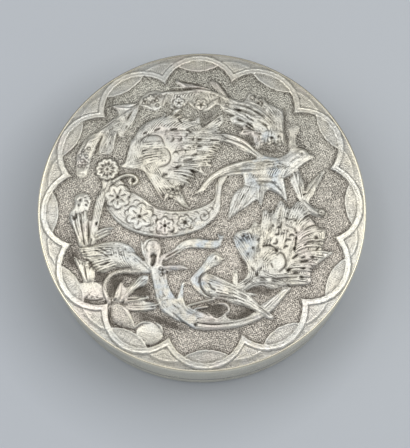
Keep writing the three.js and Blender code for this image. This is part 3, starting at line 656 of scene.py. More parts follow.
def upper_leaf():
    """The broad feathery leaf at the upper left"""
    mound(UPPER_LEAF, 0.6, hatched=1)
    swell(UPPER_LEAF_HEART, 0.25, 2)
    fringe([(-21.4, 10.8), (-19.6, 11.4), (-16.8, 13)], [(-19.4, 18.4), (-17.4, 20), (-15.6, 17.2)],
           bow=-0.04)
    fringe([(-20.4, 13.4), (-18.6, 16.4), (-16.6, 18.6), (-13.4, 20.4), (-9, 20.9), (-4.6, 20.9)],
           [(-16.8, 21.4), (-13.6, 24.2), (-9.4, 26.2), (-5.2, 26), (-2.6, 25), (1.2, 22.6)], 0.42, 0.34,
           bow=0.06, uneven=0.3)
    fringe([(-1, 20.4), (1.2, 20), (2.4, 19.6)], [(5.9, 26), (5.4, 21.6), (5.6, 20.2)])
    fringe([(-10, 20.6), (-9, 18.4)], [(3.4, 20.8), (8.3, 18.3)], 0.42, uneven=0.05)
    fringe([(-1, 18.9), (-1.4, 16.9)], [(6.6, 18.1), (5.4, 16.6)])
    fringe([(-0.9, 16.6), (-1.6, 15)], [(5.4, 16.2), (4, 14.2)])
    fringe([(-6.4, 16.8), (-7, 14.8)], [(-1.2, 17), (-1.4, 15.2)])
    fringe([(-5.4, 13.4), (-6.4, 12)], [(4.6, 14.8), (3.8, 12.8)], bow=-0.03)
    fringe([(-7.6, 11.6), (-8.8, 9.8)], [(2.8, 12.4), (0.6, 10)], bow=-0.04)
    fringe([(-9, 9.4), (-10.4, 7.2)], [(-0.6, 9.8), (-2.6, 4.8)], bow=0.08)
    fringe([(-15.8, 9.8), (-12.6, 9), (-10, 7.2)], [(-10.7, 1), (-8.8, 3.4), (-6.4, 3.6)])
    ridges([(0.8, (-7, 2.8), (-5.6, 0.8), (-3.4, -1.2)), (0.5, (-5.4, 3), (-5, 1), (-3.6, -0.8))], 0.3)
    swell([(-17, 16.6), (-15.6, 19.4), (-12, 19.6), (-10.4, 17.8), (-10, 16), (-13, 15.2)], 0.22, 0.8)
    swell([
        (-15.6, 11), (-15.6, 14), (-12.6, 15.4), (-9.8, 15.2), (-8.7, 13.2), (-9.6, 11.2), (-12, 10.4),
    ], 0.25, 0.8)
    fringe([(-16.4, 17.4), (-15.6, 11)], [(-10.6, 17.8), (-9, 12.2)], 0.4, 0.12, uneven=0.35)
    grooves([
        (0.22, (-16.9, 17.4), (-15.2, 19.4), (-12.6, 19.7), (-11.1, 19.1), (-10.4, 17.8), (-9.9, 16.2)),
        (0.28, (-10.3, 16), (-9.2, 15.3), (-8.5, 14), (-8.5, 12.4), (-9.6, 11), (-11.8, 10.3)),
        (0.22, (-16.2, 15), (-14.6, 15.6), (-13.2, 15.8)),
        (0.22, (-16.4, 13.2), (-14.8, 13.8), (-13.4, 13.7)),
        (0.15, (-15.4, 11), (-14.9, 9.8), (-14.4, 9)),
    ], 0.24)
    crescents([
        (-8.3, 18.5, 0.75, -30), (-6.1, 18.6, 0.75, -30), (-4.6, 19.6, 0.7, -20), (-7, 13.9, 0.8, 90),
        (-5.1, 14.6, 0.8, 80), (-3.5, 15.4, 0.6, 60), (-3.4, 20.4, 0.4, -60), (-2.6, 18.6, 0.5, -20),
    ], 0.36)
    grooves([
        (0.32, (-12.8, 21), (-11.2, 21.6)), (0.3, (-8.5, 21.1), (-6.6, 21.4)),
        (0.3, (-4, 21), (-2.5, 20.3)), (0.34, (-15.9, 20.1), (-14.8, 20.6)),
        (0.36, (-1, 18.1), (0.2, 18)), (0.34, (-1, 16.2), (0.2, 16.3)), (0.3, (2.9, 16.1), (3.8, 15.6)),
        (0.3, (-5, 12.1), (-2.4, 12.5)), (0.24, (-2.8, 13.6), (-1, 14)), (0.24, (1.2, 13.1), (3, 13)),
        (0.24, (2.4, 17.9), (5, 17.9)), (0.3, (-6.4, 24.5), (-5.2, 23)),
        (0.3, (-7.2, 10.1), (-5.4, 10.8)), (0.26, (-6, 24.4), (-5.5, 24.5)),
        (0.26, (-2.8, 9.2), (-1.6, 9)),
    ], 0.42)
    drills([
        (-10.3, 8.3, 0.4), (-9.6, 8.4, 0.3), (-6.6, 10.1, 0.4), (-2.4, 9.2, 0.3), (-7.8, 4.1, 0.42),
    ], 0.4)
    beads([
        (-6.3, 4.4, 0.65), (-8.3, 2.2, 0.6), (-6.8, 3.1, 0.5), (-9, 3.6, 0.45), (-5.2, 5.4, 0.45),
    ], 0.25)
    drills([
        (-3.3, 16.9, 0.16), (-4.2, 18.4, 0.16), (-1.4, 17.2, 0.14), (-2.2, 18, 0.14), (-4.8, 17.4, 0.14),
        (-5.6, 16.2, 0.14), (-3.2, 17.8, 0.14), (-4.2, 16, 0.14), (-6.2, 15.6, 0.14),
    ], 0.2)


def upper_wing():
    """The raised wing of the flying bird, at the upper right"""
    mound(UPPER_WING, 0.6, hatched=0.9)
    swell(UPPER_WING_HEART, 0.3, 1.8)
    fringe([(5.8, 29.4), (9, 29), (12.4, 29.8)], [(15.4, 24.6), (19.4, 22.8), (21.2, 24.4)], 0.42, 0.24,
           bow=0.09)
    ridges([
        (0.5, (6.4, 31), (9.6, 29.4), (13.2, 28.2), (16.6, 26), (18.8, 24), (20.3, 22.4)),
        (0.5, (5.4, 28.7), (9.6, 27.8), (13.6, 26.6), (17.4, 24.8)),
        (0.4, (13.4, 25), (16.6, 24.6), (18.8, 23), (19.8, 20.9)),
        (0.5, (7.4, 25), (10.8, 24.4), (14.2, 22.2)), (0.45, (9.2, 22.9), (12, 22.5), (14.8, 20.8)),
        (0.4, (10.8, 20.7), (13.2, 20.7), (16, 20.1)),
    ], 0.26)
    grooves([
        (0.24, (9.4, 28.7), (13, 27.4), (16.4, 25.2), (18.4, 23.2)),
        (0.24, (9, 27.2), (12, 26.3), (14.6, 25)), (0.26, (9.6, 23.9), (12.2, 23.3), (14.4, 21.6)),
        (0.24, (11, 21.9), (13, 21.6), (14.8, 20.4)), (0.22, (15.4, 23.8), (17.4, 22.6), (18.6, 20.6)),
    ], 0.4)
    ridges([
        (0.35, (14.4, 16.3), (16, 17.7), (17.4, 17.5), (18.4, 16.9), (19.6, 17.6), (20.8, 17.2),
         (21.8, 17.8), (22.8, 16.8)),
    ], 0.3)
    fringe([(14.4, 30.8), (17.2, 30.4), (19.2, 28.4)], [(18.4, 25.2), (20.8, 25), (22.4, 26.6)], 0.45,
           bow=0.06)
    fringe([(5.6, 28), (6.8, 26.2)], [(14.6, 23.4), (13.2, 21.6)], 0.45, bow=0.05)
    fringe([(8.2, 24.8), (9, 22.6)], [(13.6, 22.2), (13.2, 20.8)], 0.45)
    fringe([(11, 20.8), (14, 19.4)], [(16.4, 20.4), (17, 18.8)])
    fringe([(16.4, 20.4), (19.6, 20.8), (22.6, 20.6)], [(15.2, 16.2), (18.6, 16.8), (22.9, 16.6)], 0.45,
           0.22)
    grooves([
        (0.3, (12.4, 24.9), (13.3, 24), (14.4, 23.8)), (0.34, (12.4, 22.9), (14, 21.9)),
        (0.3, (14.4, 26.4), (16, 25.8), (17.5, 24.8)), (0.4, (14.4, 20), (16.4, 19.9)),
        (0.26, (16.6, 27.8), (16.8, 29.1), (17.6, 30.3)),
        (0.26, (19.2, 27.8), (18.5, 29), (17.8, 30.4), (16.8, 31.2)), (0.3, (18.6, 18.9), (19.8, 18.6)),
        (0.3, (7.6, 24.8), (9.4, 25.3)), (0.3, (12.9, 17.2), (14, 17)), (0.3, (9.8, 26.9), (11, 26.6)),
        (0.3, (16.6, 22.8), (18.2, 22.2)),
    ], 0.38)
    fringe([(20.6, 26.2), (22.4, 26.4)], [(20.8, 19.4), (22.6, 18.6)], 0.4, 0.1, uneven=0.3)
    fringe([(16.6, 27.4), (18.4, 27)], [(16.8, 30.6), (19.4, 28.2)], 0.4, 0.2, bow=-0.1)
    dull_patch([(10, 30), (18, 30), (22.6, 26), (22.8, 18), (19, 21), (14, 26)], 0.16)
    fade(UPPER_WING, 0.6)
    dull_patch([(20.6, 26.4), (22.4, 27), (22.8, 20.6), (20.9, 20), (20.6, 23)], 0.35)
    grooves([(0.34, (23.2, 28), (23, 25), (23, 21.8), (23.4, 19), (23.7, 16.8))], 0.7)
    drills([
        (10.4, 26.8, 0.2), (15.9, 29.1, 0.4), (17, 29, 0.25), (21.2, 19.1, 0.34), (19.4, 18.7, 0.25),
        (22, 16.6, 0.3), (17.2, 17.4, 0.24),
    ], 0.4)
    beads([(14.2, 30.7, 0.6), (16.4, 30, 0.5), (7.2, 28.4, 0.35)], 0.25)


def twig():
    """The flowering twig along the far side"""
    mound(TWIG_FOLIAGE, 0.34, hatched=1, matted=0.4)
    mound(TWIG_LEAF, 0.34, hatched=1, matted=0.35)
    fringe([(-6.2, 34.6), (-3, 34), (1.4, 33.5)], [(-7, 36), (-3.4, 35.2), (1, 34.2)], 0.4, 0.16,
           uneven=0.4)
    fringe([(-7.8, 32), (-4.4, 32), (-0.4, 32.4)], [(-8.6, 29.2), (-4.4, 30.8), (-1.6, 29.8)], 0.4, 0.14,
           uneven=0.4)
    fringe([(1, 32), (3.6, 31.4), (6, 30.2)], [(2, 28.8), (4, 29), (6.2, 28)], 0.4, 0.14, uneven=0.4)
    mound([
        (-17, 29), (-13.3, 27), (-10.4, 28.4), (-9.8, 30.6), (-11, 32.6), (-14, 32.8), (-16.2, 31.4),
    ], 0.45)
    ridges([
        (0.5, (-15.6, 30.4), (-12.4, 31.6), (-9, 32.2), (-5, 32.3), (-0.6, 32.9), (3, 32.2),
         (6.4, 30.6), (8.4, 29)), (0.4, (-3.4, 33.6), (-5, 34.6), (-6.6, 36)),
        (0.4, (-9.4, 31.6), (-9.8, 30.4), (-10.4, 28.4)),
    ], 0.4, even_taper)
    ridges([
        (0.9, (0.3, 26.4), (2.2, 27.7), (5, 30.2)), (0.7, (-7.7, 25.3), (-7, 26.6), (-5.2, 27.2)),
        (0.6, (-3.5, 29.6), (-2.6, 28.5), (-0.9, 27)), (0.6, (-8.6, 28.6), (-8, 27.8), (-7.4, 27.6)),
        (0.6, (3.2, 29.4), (4.4, 29), (5.6, 28)),
    ], 0.5)
    ridges([
        (0.4, (-16.8, 28.8), (-14.8, 28.3), (-13, 27.1)),
        (0.3, (-8, 34), (-4.6, 33.8), (-1, 34), (2.4, 33.2)),
        (0.5, (-15.4, 29.6), (-13.6, 30.2), (-11.6, 31.6)),
    ], 0.25)
    mound([
        (8.2, 29.8), (6.4, 30.4), (4, 33), (2.4, 35.4), (3.4, 36), (5, 34.8), (6.6, 32.4),
    ], 0.4, hatched=1, matted=0.45)
    fringe([(7.8, 30), (6.6, 30.6)], [(4.6, 35), (3, 35.4)], 0.4, 0.12, uneven=0.4)
    grooves([(0.36, (5.2, 35.4), (6.6, 32.8), (8.2, 30.2))], 0.4)
    grooves([(0.2, (-9.4, 33.3), (-5, 33.2), (-1, 33.6), (2.6, 33))], 0.5)
    grooves([(0.3, (-7.4, 36.2), (-4.4, 35.6), (-1.6, 34.9), (1.4, 34.1), (2.6, 33.8))], 0.5)
    fade(TWIG_LEAF, 0.7)
    for x0, y0 in [(-6.1, 29.3), (0, 28.6)]:
        mound(oval(x0, y0, 1.9, 1.8, np.linspace(0, 5.5, 8)), 0.4, 0.3)
    flower(-6.1, 29.3, 1.1, 0.62, petals=5, turn=20)
    flower(0, 28.6, 1.25, 0.68, petals=5, turn=-20, pit=0.4)
    beads([
        (-15.4, 30.4, 0.45), (-13.9, 31.5, 0.4), (-12.6, 31.3, 0.45), (-14.4, 29.4, 0.4),
        (-12.2, 30.1, 0.4), (-11.2, 31.4, 0.35), (-15.8, 29.4, 0.35), (-13.2, 29.8, 0.35),
    ], 0.3)
    ground[patch([(-10, 26)], 0.4)[0]] *= 0.3
    beads([(-10, 26, 0.4), (-12, 28.6, 0.4)], 0.4)


def spray_leaf():
    """The leaf that hangs at the upper left, with fingers and a cluster of grains"""
    mound(SPRAY_LEAF, 0.55, hatched=1, matted=0.3)
    fringe([(-17, 29.2), (-18.4, 28.6)], [(-20.6, 21.4), (-24, 20.2)], 0.34, 0.2, bow=0.08, uneven=0.4)
    fringe([(-19, 27.6), (-20.4, 27)], [(-26.4, 21.6), (-33, 17)], 0.38, 0.2, bow=0.06, uneven=0.4)
    fringe([(-17.8, 29.4), (-19.4, 28.2)], [(-25, 29), (-23.8, 27.6)], 0.38, 0.2)
    fringe([(-24.6, 21.6), (-23, 21)], [(-28.2, 14.8), (-24.2, 14.9)], 0.38, 0.2, uneven=0.4)
    fringe([(-30.6, 20), (-29.2, 20)], [(-34, 12.4), (-30.6, 12.8)])
    fringe([(-26.6, 22.4), (-31, 20)], [(-29, 18.6), (-31.4, 17.4)])
    grooves([
        (0.28, (-27.4, 20.4), (-28.6, 17.4), (-29, 14.2)), (0.2, (-29, 20.4), (-31, 18.8), (-32.6, 16.6)),
        (0.3, (-25, 28.9), (-24, 27.9), (-23, 27.2)), (0.2, (-22, 26), (-25.4, 23.4), (-29, 21)),
    ], 0.32)
    ridges([
        (0.4, (-22.9, 20.7), (-21.9, 19.8), (-20.5, 19.4)),
        (0.35, (-26.2, 21.4), (-27.5, 17.8), (-28.2, 14.6)),
        (0.3, (-24.3, 20.6), (-24.5, 18), (-25.2, 15.2)),
        (0.35, (-24.6, 28.8), (-21.6, 27.9), (-18.8, 28), (-16.8, 29.1)),
        (0.3, (-18.2, 27.8), (-21, 26.2), (-24, 24.6)),
    ], 0.24)
    mound(GRAIN_CLUSTER, 0.45, hatched=0.5)
    fringe([(-28.4, 20), (-30.4, 19.6)], [(-30.8, 15), (-33.2, 15.2)], 0.4, 0.16, uneven=0.3)
    swell([(-34, 9.6), (-33, 8.6), (-31.7, 9), (-31.4, 10.2), (-32.6, 10.8), (-33.8, 10.6)], 0.4, 0.6)
    grooves([(0.2, (-27.2, 19.6), (-28.5, 17.4), (-29.4, 14.6))], 0.2)
    dull_patch([(-27.8, 20.6), (-30.4, 20.6), (-33.4, 16.6), (-32, 15.2), (-29.6, 15.6)], 0.3)
    beads([
        (-33.2, 14.6, 0.45), (-31.4, 14.2, 0.45), (-32.6, 13, 0.45), (-31.4, 12.2, 0.4),
        (-33.3, 11.6, 0.4), (-32.2, 11.4, 0.4), (-32.4, 15.8, 0.4), (-30.8, 16.4, 0.4),
    ], 0.34)
    drills([
        (-33, 13.8, 0.2), (-32.2, 14.9, 0.2), (-31.8, 13, 0.2), (-33.6, 12.6, 0.18), (-32.6, 12, 0.18),
        (-31.2, 11.2, 0.18), (-30.9, 13.2, 0.2), (-31, 15.4, 0.2),
    ], 0.5)


def tail_plumes():
    """The plumes that rise from the crouching bird's tail"""
    mound(TAIL_PLUMES, 0.6, hatched=0.4)
    swell([
        (-34.2, 1.4), (-33.4, 3.3), (-31.2, 3.2), (-30.6, 1.4), (-31.4, -0.8), (-33.6, -0.6),
    ], 0.3, 0.8)
    fringe([(-32.8, -11), (-30.8, -11)], [(-36, -2.6), (-31.2, -0.6)], uneven=0.06)
    fringe([(-30.6, -10.8), (-28.8, -10.2)], [(-28.6, 2.6), (-25.2, 6.6)], uneven=0.06)
    ridges([
        (0.8, (-28.9, -8.7), (-27.2, -7.1), (-23.6, -6.1)),
        (0.5, (-28.8, -9.4), (-26.4, -8.2), (-24.4, -7.4)),
    ], 0.34)
    grooves([
        (0.26, (-34.3, -1), (-34.2, -4.6), (-33.2, -8)),
        (0.24, (-32.6, -1.4), (-32.4, -6), (-31.6, -10.4)),
        (0.3, (-30.7, -3.8), (-30.6, -7), (-30.5, -10.6)), (0.24, (-31.8, 1.7), (-31, 1.5), (-30.6, 0.7)),
        (0.3, (-31.7, 0.5), (-30.9, 0.2)), (0.3, (-29.8, -9), (-30.1, -10.6)),
        (0.3, (-32.2, -9.2), (-31.7, -10.6)), (0.24, (-28.2, -4.4), (-28.6, -5.4)),
        (0.24, (-28.4, -7.7), (-26.4, -6.9), (-24.4, -6.5)),
    ], 0.36)
    rings([(-27.4, -2.1, 0.6), (-27.6, -3.4, 0.45), (-34.5, -3, 0.85), (-33, 1.8, 0.9)], 0.16)
    drills([
        (-33, 1.8, 0.36), (-34.5, -3, 0.36), (-28.5, -4.9, 0.3), (-33.4, 0.4, 0.3), (-31.6, 2.6, 0.24),
    ])


def crouching_bird():
    """The bird at the left, its wing spread behind its head"""
    mound(CROUCHING_BIRD, 0.62, hatched=0.5)
    swell(CROUCHING_BODY, 0.4)
    fringe([(-24, -11), (-24.2, -13.6)], [(-33.6, -11.2), (-32.4, -14)])
    fringe([(-24.2, -13.8), (-22.6, -16.4)], [(-31.4, -14.8), (-28.6, -18.4)])
    fringe([(-31.6, -14.8), (-30.6, -15)], [(-31, -20.8), (-29.6, -20.6)])
    fringe([(-22, -16.8), (-18, -17.4)], [(-24.6, -11.8), (-20.4, -12)], 0.34, 0.12, bow=0.1, uneven=0.3)
    grooves([
        (0.28, (-28.9, -12), (-27, -13), (-25, -14.3)), (0.28, (-28, -11.3), (-26.8, -12), (-25.2, -13)),
        (0.3, (-27.2, -16.2), (-26.2, -16), (-25, -15.4)), (0.24, (-32.2, -12.6), (-31.2, -12.9)),
        (0.24, (-31.8, -13.6), (-31, -13.9)), (0.3, (-31.3, -14.4), (-30.2, -15.2), (-29.4, -17)),
        (0.2, (-24.2, -16.6), (-21.6, -17.2), (-18.8, -17)),
        (0.22, (-15.6, -11.4), (-15.7, -13.6), (-15.2, -15.2)),
    ], 0.32)
    drills([
        (-23.7, -10.5, 0.2), (-20.6, -12, 0.18), (-22, -13, 0.18), (-23, -14.2, 0.2), (-21, -13.6, 0.18),
        (-24.4, -12.4, 0.18), (-22.6, -11.8, 0.18), (-19.6, -13, 0.18), (-24.2, -13.6, 0.18),
        (-21.8, -15, 0.18), (-20, -14.8, 0.18), (-25.6, -11.6, 0.18), (-19.4, -14, 0.18),
        (-18.2, -15, 0.18),
    ], 0.24)
    rings([(-13.1, -11.8, 1.15)], 0.3)
    crescents([(-13.2, -11.6, 1.9, 60), (-13.2, -11.6, 1.9, 150)], 0.16)
    drills([(-13.1, -11.8, 0.2), (-14.7, -10.9, 0.22), (-11.9, -10.8, 0.18), (-14.9, -12.6, 0.2)], 0.2)
    grooves([(0.85, (-13.1, -13.6), (-13, -15), (-13.4, -16.6))], 0.6)
    drills([(-13.6, -14.1, 0.45), (-12.6, -14.1, 0.4), (-13.1, -15.2, 0.5)], 0.5)
    ridges([
        (0.4, (-16.3, -9.6), (-16, -12.4), (-14.8, -16.2)),
        (0.5, (-19.4, -12.8), (-16.6, -15), (-13.4, -18.4)),
    ], 0.3)


def tree():
    """The tree: trunk, broken limbs and the long bough below"""
    mound(TRUNK, 0.62, crown=0.7, hatched=0.5)
    ridges([
        (0.3, (-13.3, -17.4), (-13.1, -20), (-12.5, -23.6), (-11.2, -27.4), (-8.8, -29.9), (-5.6, -31.6)),
        (0.26, (-9.9, -18.8), (-9.5, -21.6), (-8.2, -24.4), (-6.4, -26.6)),
        (0.32, (-10.6, -14.4), (-7.8, -12.7), (-5, -10.4), (-1.6, -9.8), (2, -10.2), (4.2, -10.2)),
        (0.3, (-9.8, -15), (-7, -13.4), (-4.4, -11.9), (0, -11.9), (3.4, -12), (4.8, -11)),
        (0.4, (-11.6, -17.6), (-11, -15.4), (-9.6, -13.6)),
        (0.4, (-10.6, -17.2), (-8, -16.9), (-4.4, -17.5)),
        (0.4, (-2.6, -33), (0, -33.4), (5, -33.3), (10, -32.6), (14.6, -31), (18, -28.8), (20.8, -25.8),
         (23.2, -22.8)),
        (0.4, (-1, -31), (3.6, -31.8), (8, -31.8), (12.4, -30.8), (16, -29.4), (19, -26.6), (21.8, -23)),
        (0.4, (-7, -26.4), (-6, -24), (-5.1, -21.4)),
    ], 0.17, even_taper, 0.35)
    fringe([(-12.6, -18.6), (-10.6, -18.6)], [(-11.6, -25.6), (-8.6, -24.4)], 0.6, 0.05, uneven=0.4)
    fringe([(-11, -26.4), (-7.8, -25.4)], [(-6.6, -30), (-4.4, -29)], 0.6, 0.05, bow=0.05, uneven=0.4)
    fringe([(-2.4, -32.8), (-1.4, -30.8)], [(11, -32), (10.4, -31)], 0.4, 0.1, bow=-0.06, uneven=0.3)
    fringe([(15, -30.6), (14.6, -28.8)], [(22.8, -23), (21.6, -22.8)], 0.35, 0.16)
    ridges([
        (0.35, (-5.6, -24.4), (-5, -27), (-3.8, -28.9), (-1, -30)),
        (0.4, (-6.6, -30.2), (-4.6, -31.8), (-2.7, -33.2)),
        (0.35, (1.2, -29.4), (3.4, -31), (5.4, -30.2), (6.9, -28.6)),
        (0.4, (3.6, -26.9), (6, -27.2), (7, -28.6), (6.4, -30)),
    ], 0.3)
    grooves([
        (0.25, (-11, -12.8), (-9, -13.4), (-7, -11.8)), (0.2, (-9.8, -14.4), (-6, -12.4), (-2.6, -11.2)),
        (0.2, (-1.6, -32.1), (4, -32.5), (9, -32), (13.6, -30.8)),
        (0.25, (-8, -29.4), (-5.6, -31.6), (-3.4, -33)), (0.3, (-9.4, -17.8), (-7.6, -17.9)),
    ], 0.26)
    ridges([(0.45, (4.2, -8.3), (5, -9.2), (5.8, -8.6))], 0.3)
    fade(TRUNK, 0.7)
    dull_patch([
        (-12.8, -19), (-10.2, -20), (-8, -25), (-4, -29), (8, -31.6), (18, -28), (14, -31.6), (4, -33.2),
        (-3, -32.6), (-9, -29.4), (-12, -24),
    ], 0.16)
    beads([(-10.1, -18.4, 0.55), (-11.1, -17.6, 0.4), (-11, -19.2, 0.35)], 0.25)
    drills([(-2, -32.6, 0.5), (4.6, -8.7, 0.25), (-10.6, -17.9, 0.2)], 0.5)


def lower_twigs():
    """The notched leaf, twigs, fruit, pod and bud at the lower left"""
    mound(NOTCHED_LEAF, 0.5)
    mound(LEFT_LEAF, 0.5, hatched=0.8)
    mound(LEFT_FRUIT, 0.5, crown=1.6, hatched=1, matted=0.15)
    mound(LOWER_POD, 0.45, crown=1.6, hatched=1, matted=0.45)
    mound(LOWER_BUD, 0.5, crown=1.6, hatched=1, matted=0.15)
    fringe([(-31.4, -20.8), (-29.6, -20.6)], [(-34.6, -13.8), (-29.2, -16.6)])
    ridges([
        (0.7, (-22.8, -25.8), (-22.4, -23), (-21.8, -20.9)),
        (0.4, (-23.6, -25.8), (-23, -23.6), (-22.4, -21.8)),
    ], 0.4)
    fringe([(-22, -25.8), (-20.4, -25.2)], [(-16.6, -19.2), (-14.4, -20.4)], 0.42)
    fringe([(-21, -25.9), (-20.8, -26.6)], [(-15, -24.8), (-15.2, -26)], 0.42, 0.36)
    fringe([(-20.8, -27), (-20, -28.4)], [(-11.8, -26.6), (-12, -28.3)], 0.42, 0.36, bow=-0.06)
    ridges([
        (0.6, (-17, -18.4), (-21.4, -18), (-24.4, -18.9), (-26, -21), (-26.1, -23.4), (-25, -26)),
    ], 0.16, even_taper)
    dull_patch([
        (-17, -17.6), (-21.4, -17.2), (-24.8, -18.2), (-26.8, -21), (-26.9, -23.6), (-25.8, -26),
        (-24.4, -25.8), (-25.2, -23), (-25, -21), (-23.8, -19.8), (-21.2, -18.9), (-17, -19.2),
    ], 0.5)
    ridges([
        (0.45, (-22.6, -26.7), (-20.8, -28), (-19.4, -30), (-18.4, -32.6)),
        (0.4, (-12.6, -31.8), (-11.2, -33), (-10.7, -34.8)),
        (0.35, (-18.2, -33), (-16.2, -31.7), (-13.6, -31.8)),
        (0.4, (-26.6, -22.6), (-25.9, -24.4), (-25.6, -25.9)),
    ], 0.3)
    grooves([
        (0.4, (-33.2, -24.2), (-31, -25.3), (-28.6, -25.6), (-26.6, -25.2)),
        (0.26, (-24.7, -27.4), (-24.8, -30)),
        (0.4, (-25, -29.6), (-24.4, -31.8), (-22, -32.8), (-19.4, -33.6)),
        (0.4, (-18.6, -34.8), (-16.6, -37), (-14.4, -38)),
        (0.3, (-31.8, -15.6), (-31.4, -18), (-31, -20.2)), (0.3, (-23.7, -26), (-23.3, -25.2)),
        (0.25, (-21.6, -26.6), (-20.8, -25.8)), (0.3, (-20, -25.6), (-17, -25.4)),
        (0.3, (-18.6, -23.4), (-15.6, -22.2)),
    ], 0.4)
    drills([
        (-32.4, -24, 0.3), (-31, -24.6, 0.3), (-29.6, -24.8, 0.28), (-28.2, -24.8, 0.28),
        (-30.4, -24, 0.22), (-24.2, -30.4, 0.3), (-23.2, -31.8, 0.3), (-21.6, -32.2, 0.28),
        (-17.4, -35.6, 0.3), (-16, -36.4, 0.3),
    ], 0.3)


def perched_bird():
    """The small bird that perches on the bough, its tail to the lower right"""
    mound(PERCHED_BIRD, 0.62, crown=0.8, hatched=0.5)
    mound(SMALL_BUD, 0.4, 0.3)
    swell(PERCHED_BODY, 0.34)
    fringe([(0.8, -20), (1.6, -24.8)], [(8.4, -22.9), (10, -26.2)], 0.4, 0.16, uneven=0.35)
    fringe([(7.4, -22.4), (8.4, -26.6)], [(13.4, -25.6), (13.6, -28.4)], 0.4, 0.2)
    fringe([(12, -25.2), (11.4, -27.6)], [(18.8, -30.2), (18.2, -31)], 0.3, 0.22)
    fringe([(2.4, -16.2), (1, -16.8)], [(-1.2, -21.6), (-2.8, -21)], 0.35, 0.08, uneven=0.4)
    fade(PERCHED_BIRD, 0.6)
    rings([(3.6, -15, 0.85)], 0.24)
    drills([(3.6, -15, 0.26), (8.6, -18.5, 0.3)], 0.25)
    ridges([
        (0.3, (1.2, -18.9), (4.4, -20.3), (8.4, -22.3), (12.4, -24.9), (15.6, -28)),
        (0.3, (-0.4, -20), (0.2, -22.8), (2.6, -25.2)), (0.35, (8.6, -18.4), (9.2, -20.4), (8.9, -22.6)),
        (0.4, (11.6, -24.2), (14.4, -24.9)),
    ], 0.22)
    grooves([
        (0.6, (0.9, -18.6), (-0.5, -19.8), (-1.2, -21.6)), (0.5, (1.6, -21.6), (2.4, -23), (3.4, -23.6)),
        (0.3, (-0.9, -20.4), (-0.6, -22.4), (0.6, -24.4), (2.6, -25.6)),
        (0.26, (4.6, -25.1), (7, -25.4), (9, -26)), (0.26, (9.6, -24.4), (11.8, -25.8)),
        (0.3, (12.6, -28.6), (14.3, -29.4)), (0.26, (14.4, -27.4), (17.8, -30.4)),
        (0.24, (4.9, -15.6), (6, -15.3)),
    ], 0.24)
    ridges([
        (0.35, (-3.7, -27.4), (-0.6, -26.6), (2.8, -25.9)), (0.3, (-2, -28.3), (1.2, -27.8)),
    ], 0.4, even_taper)


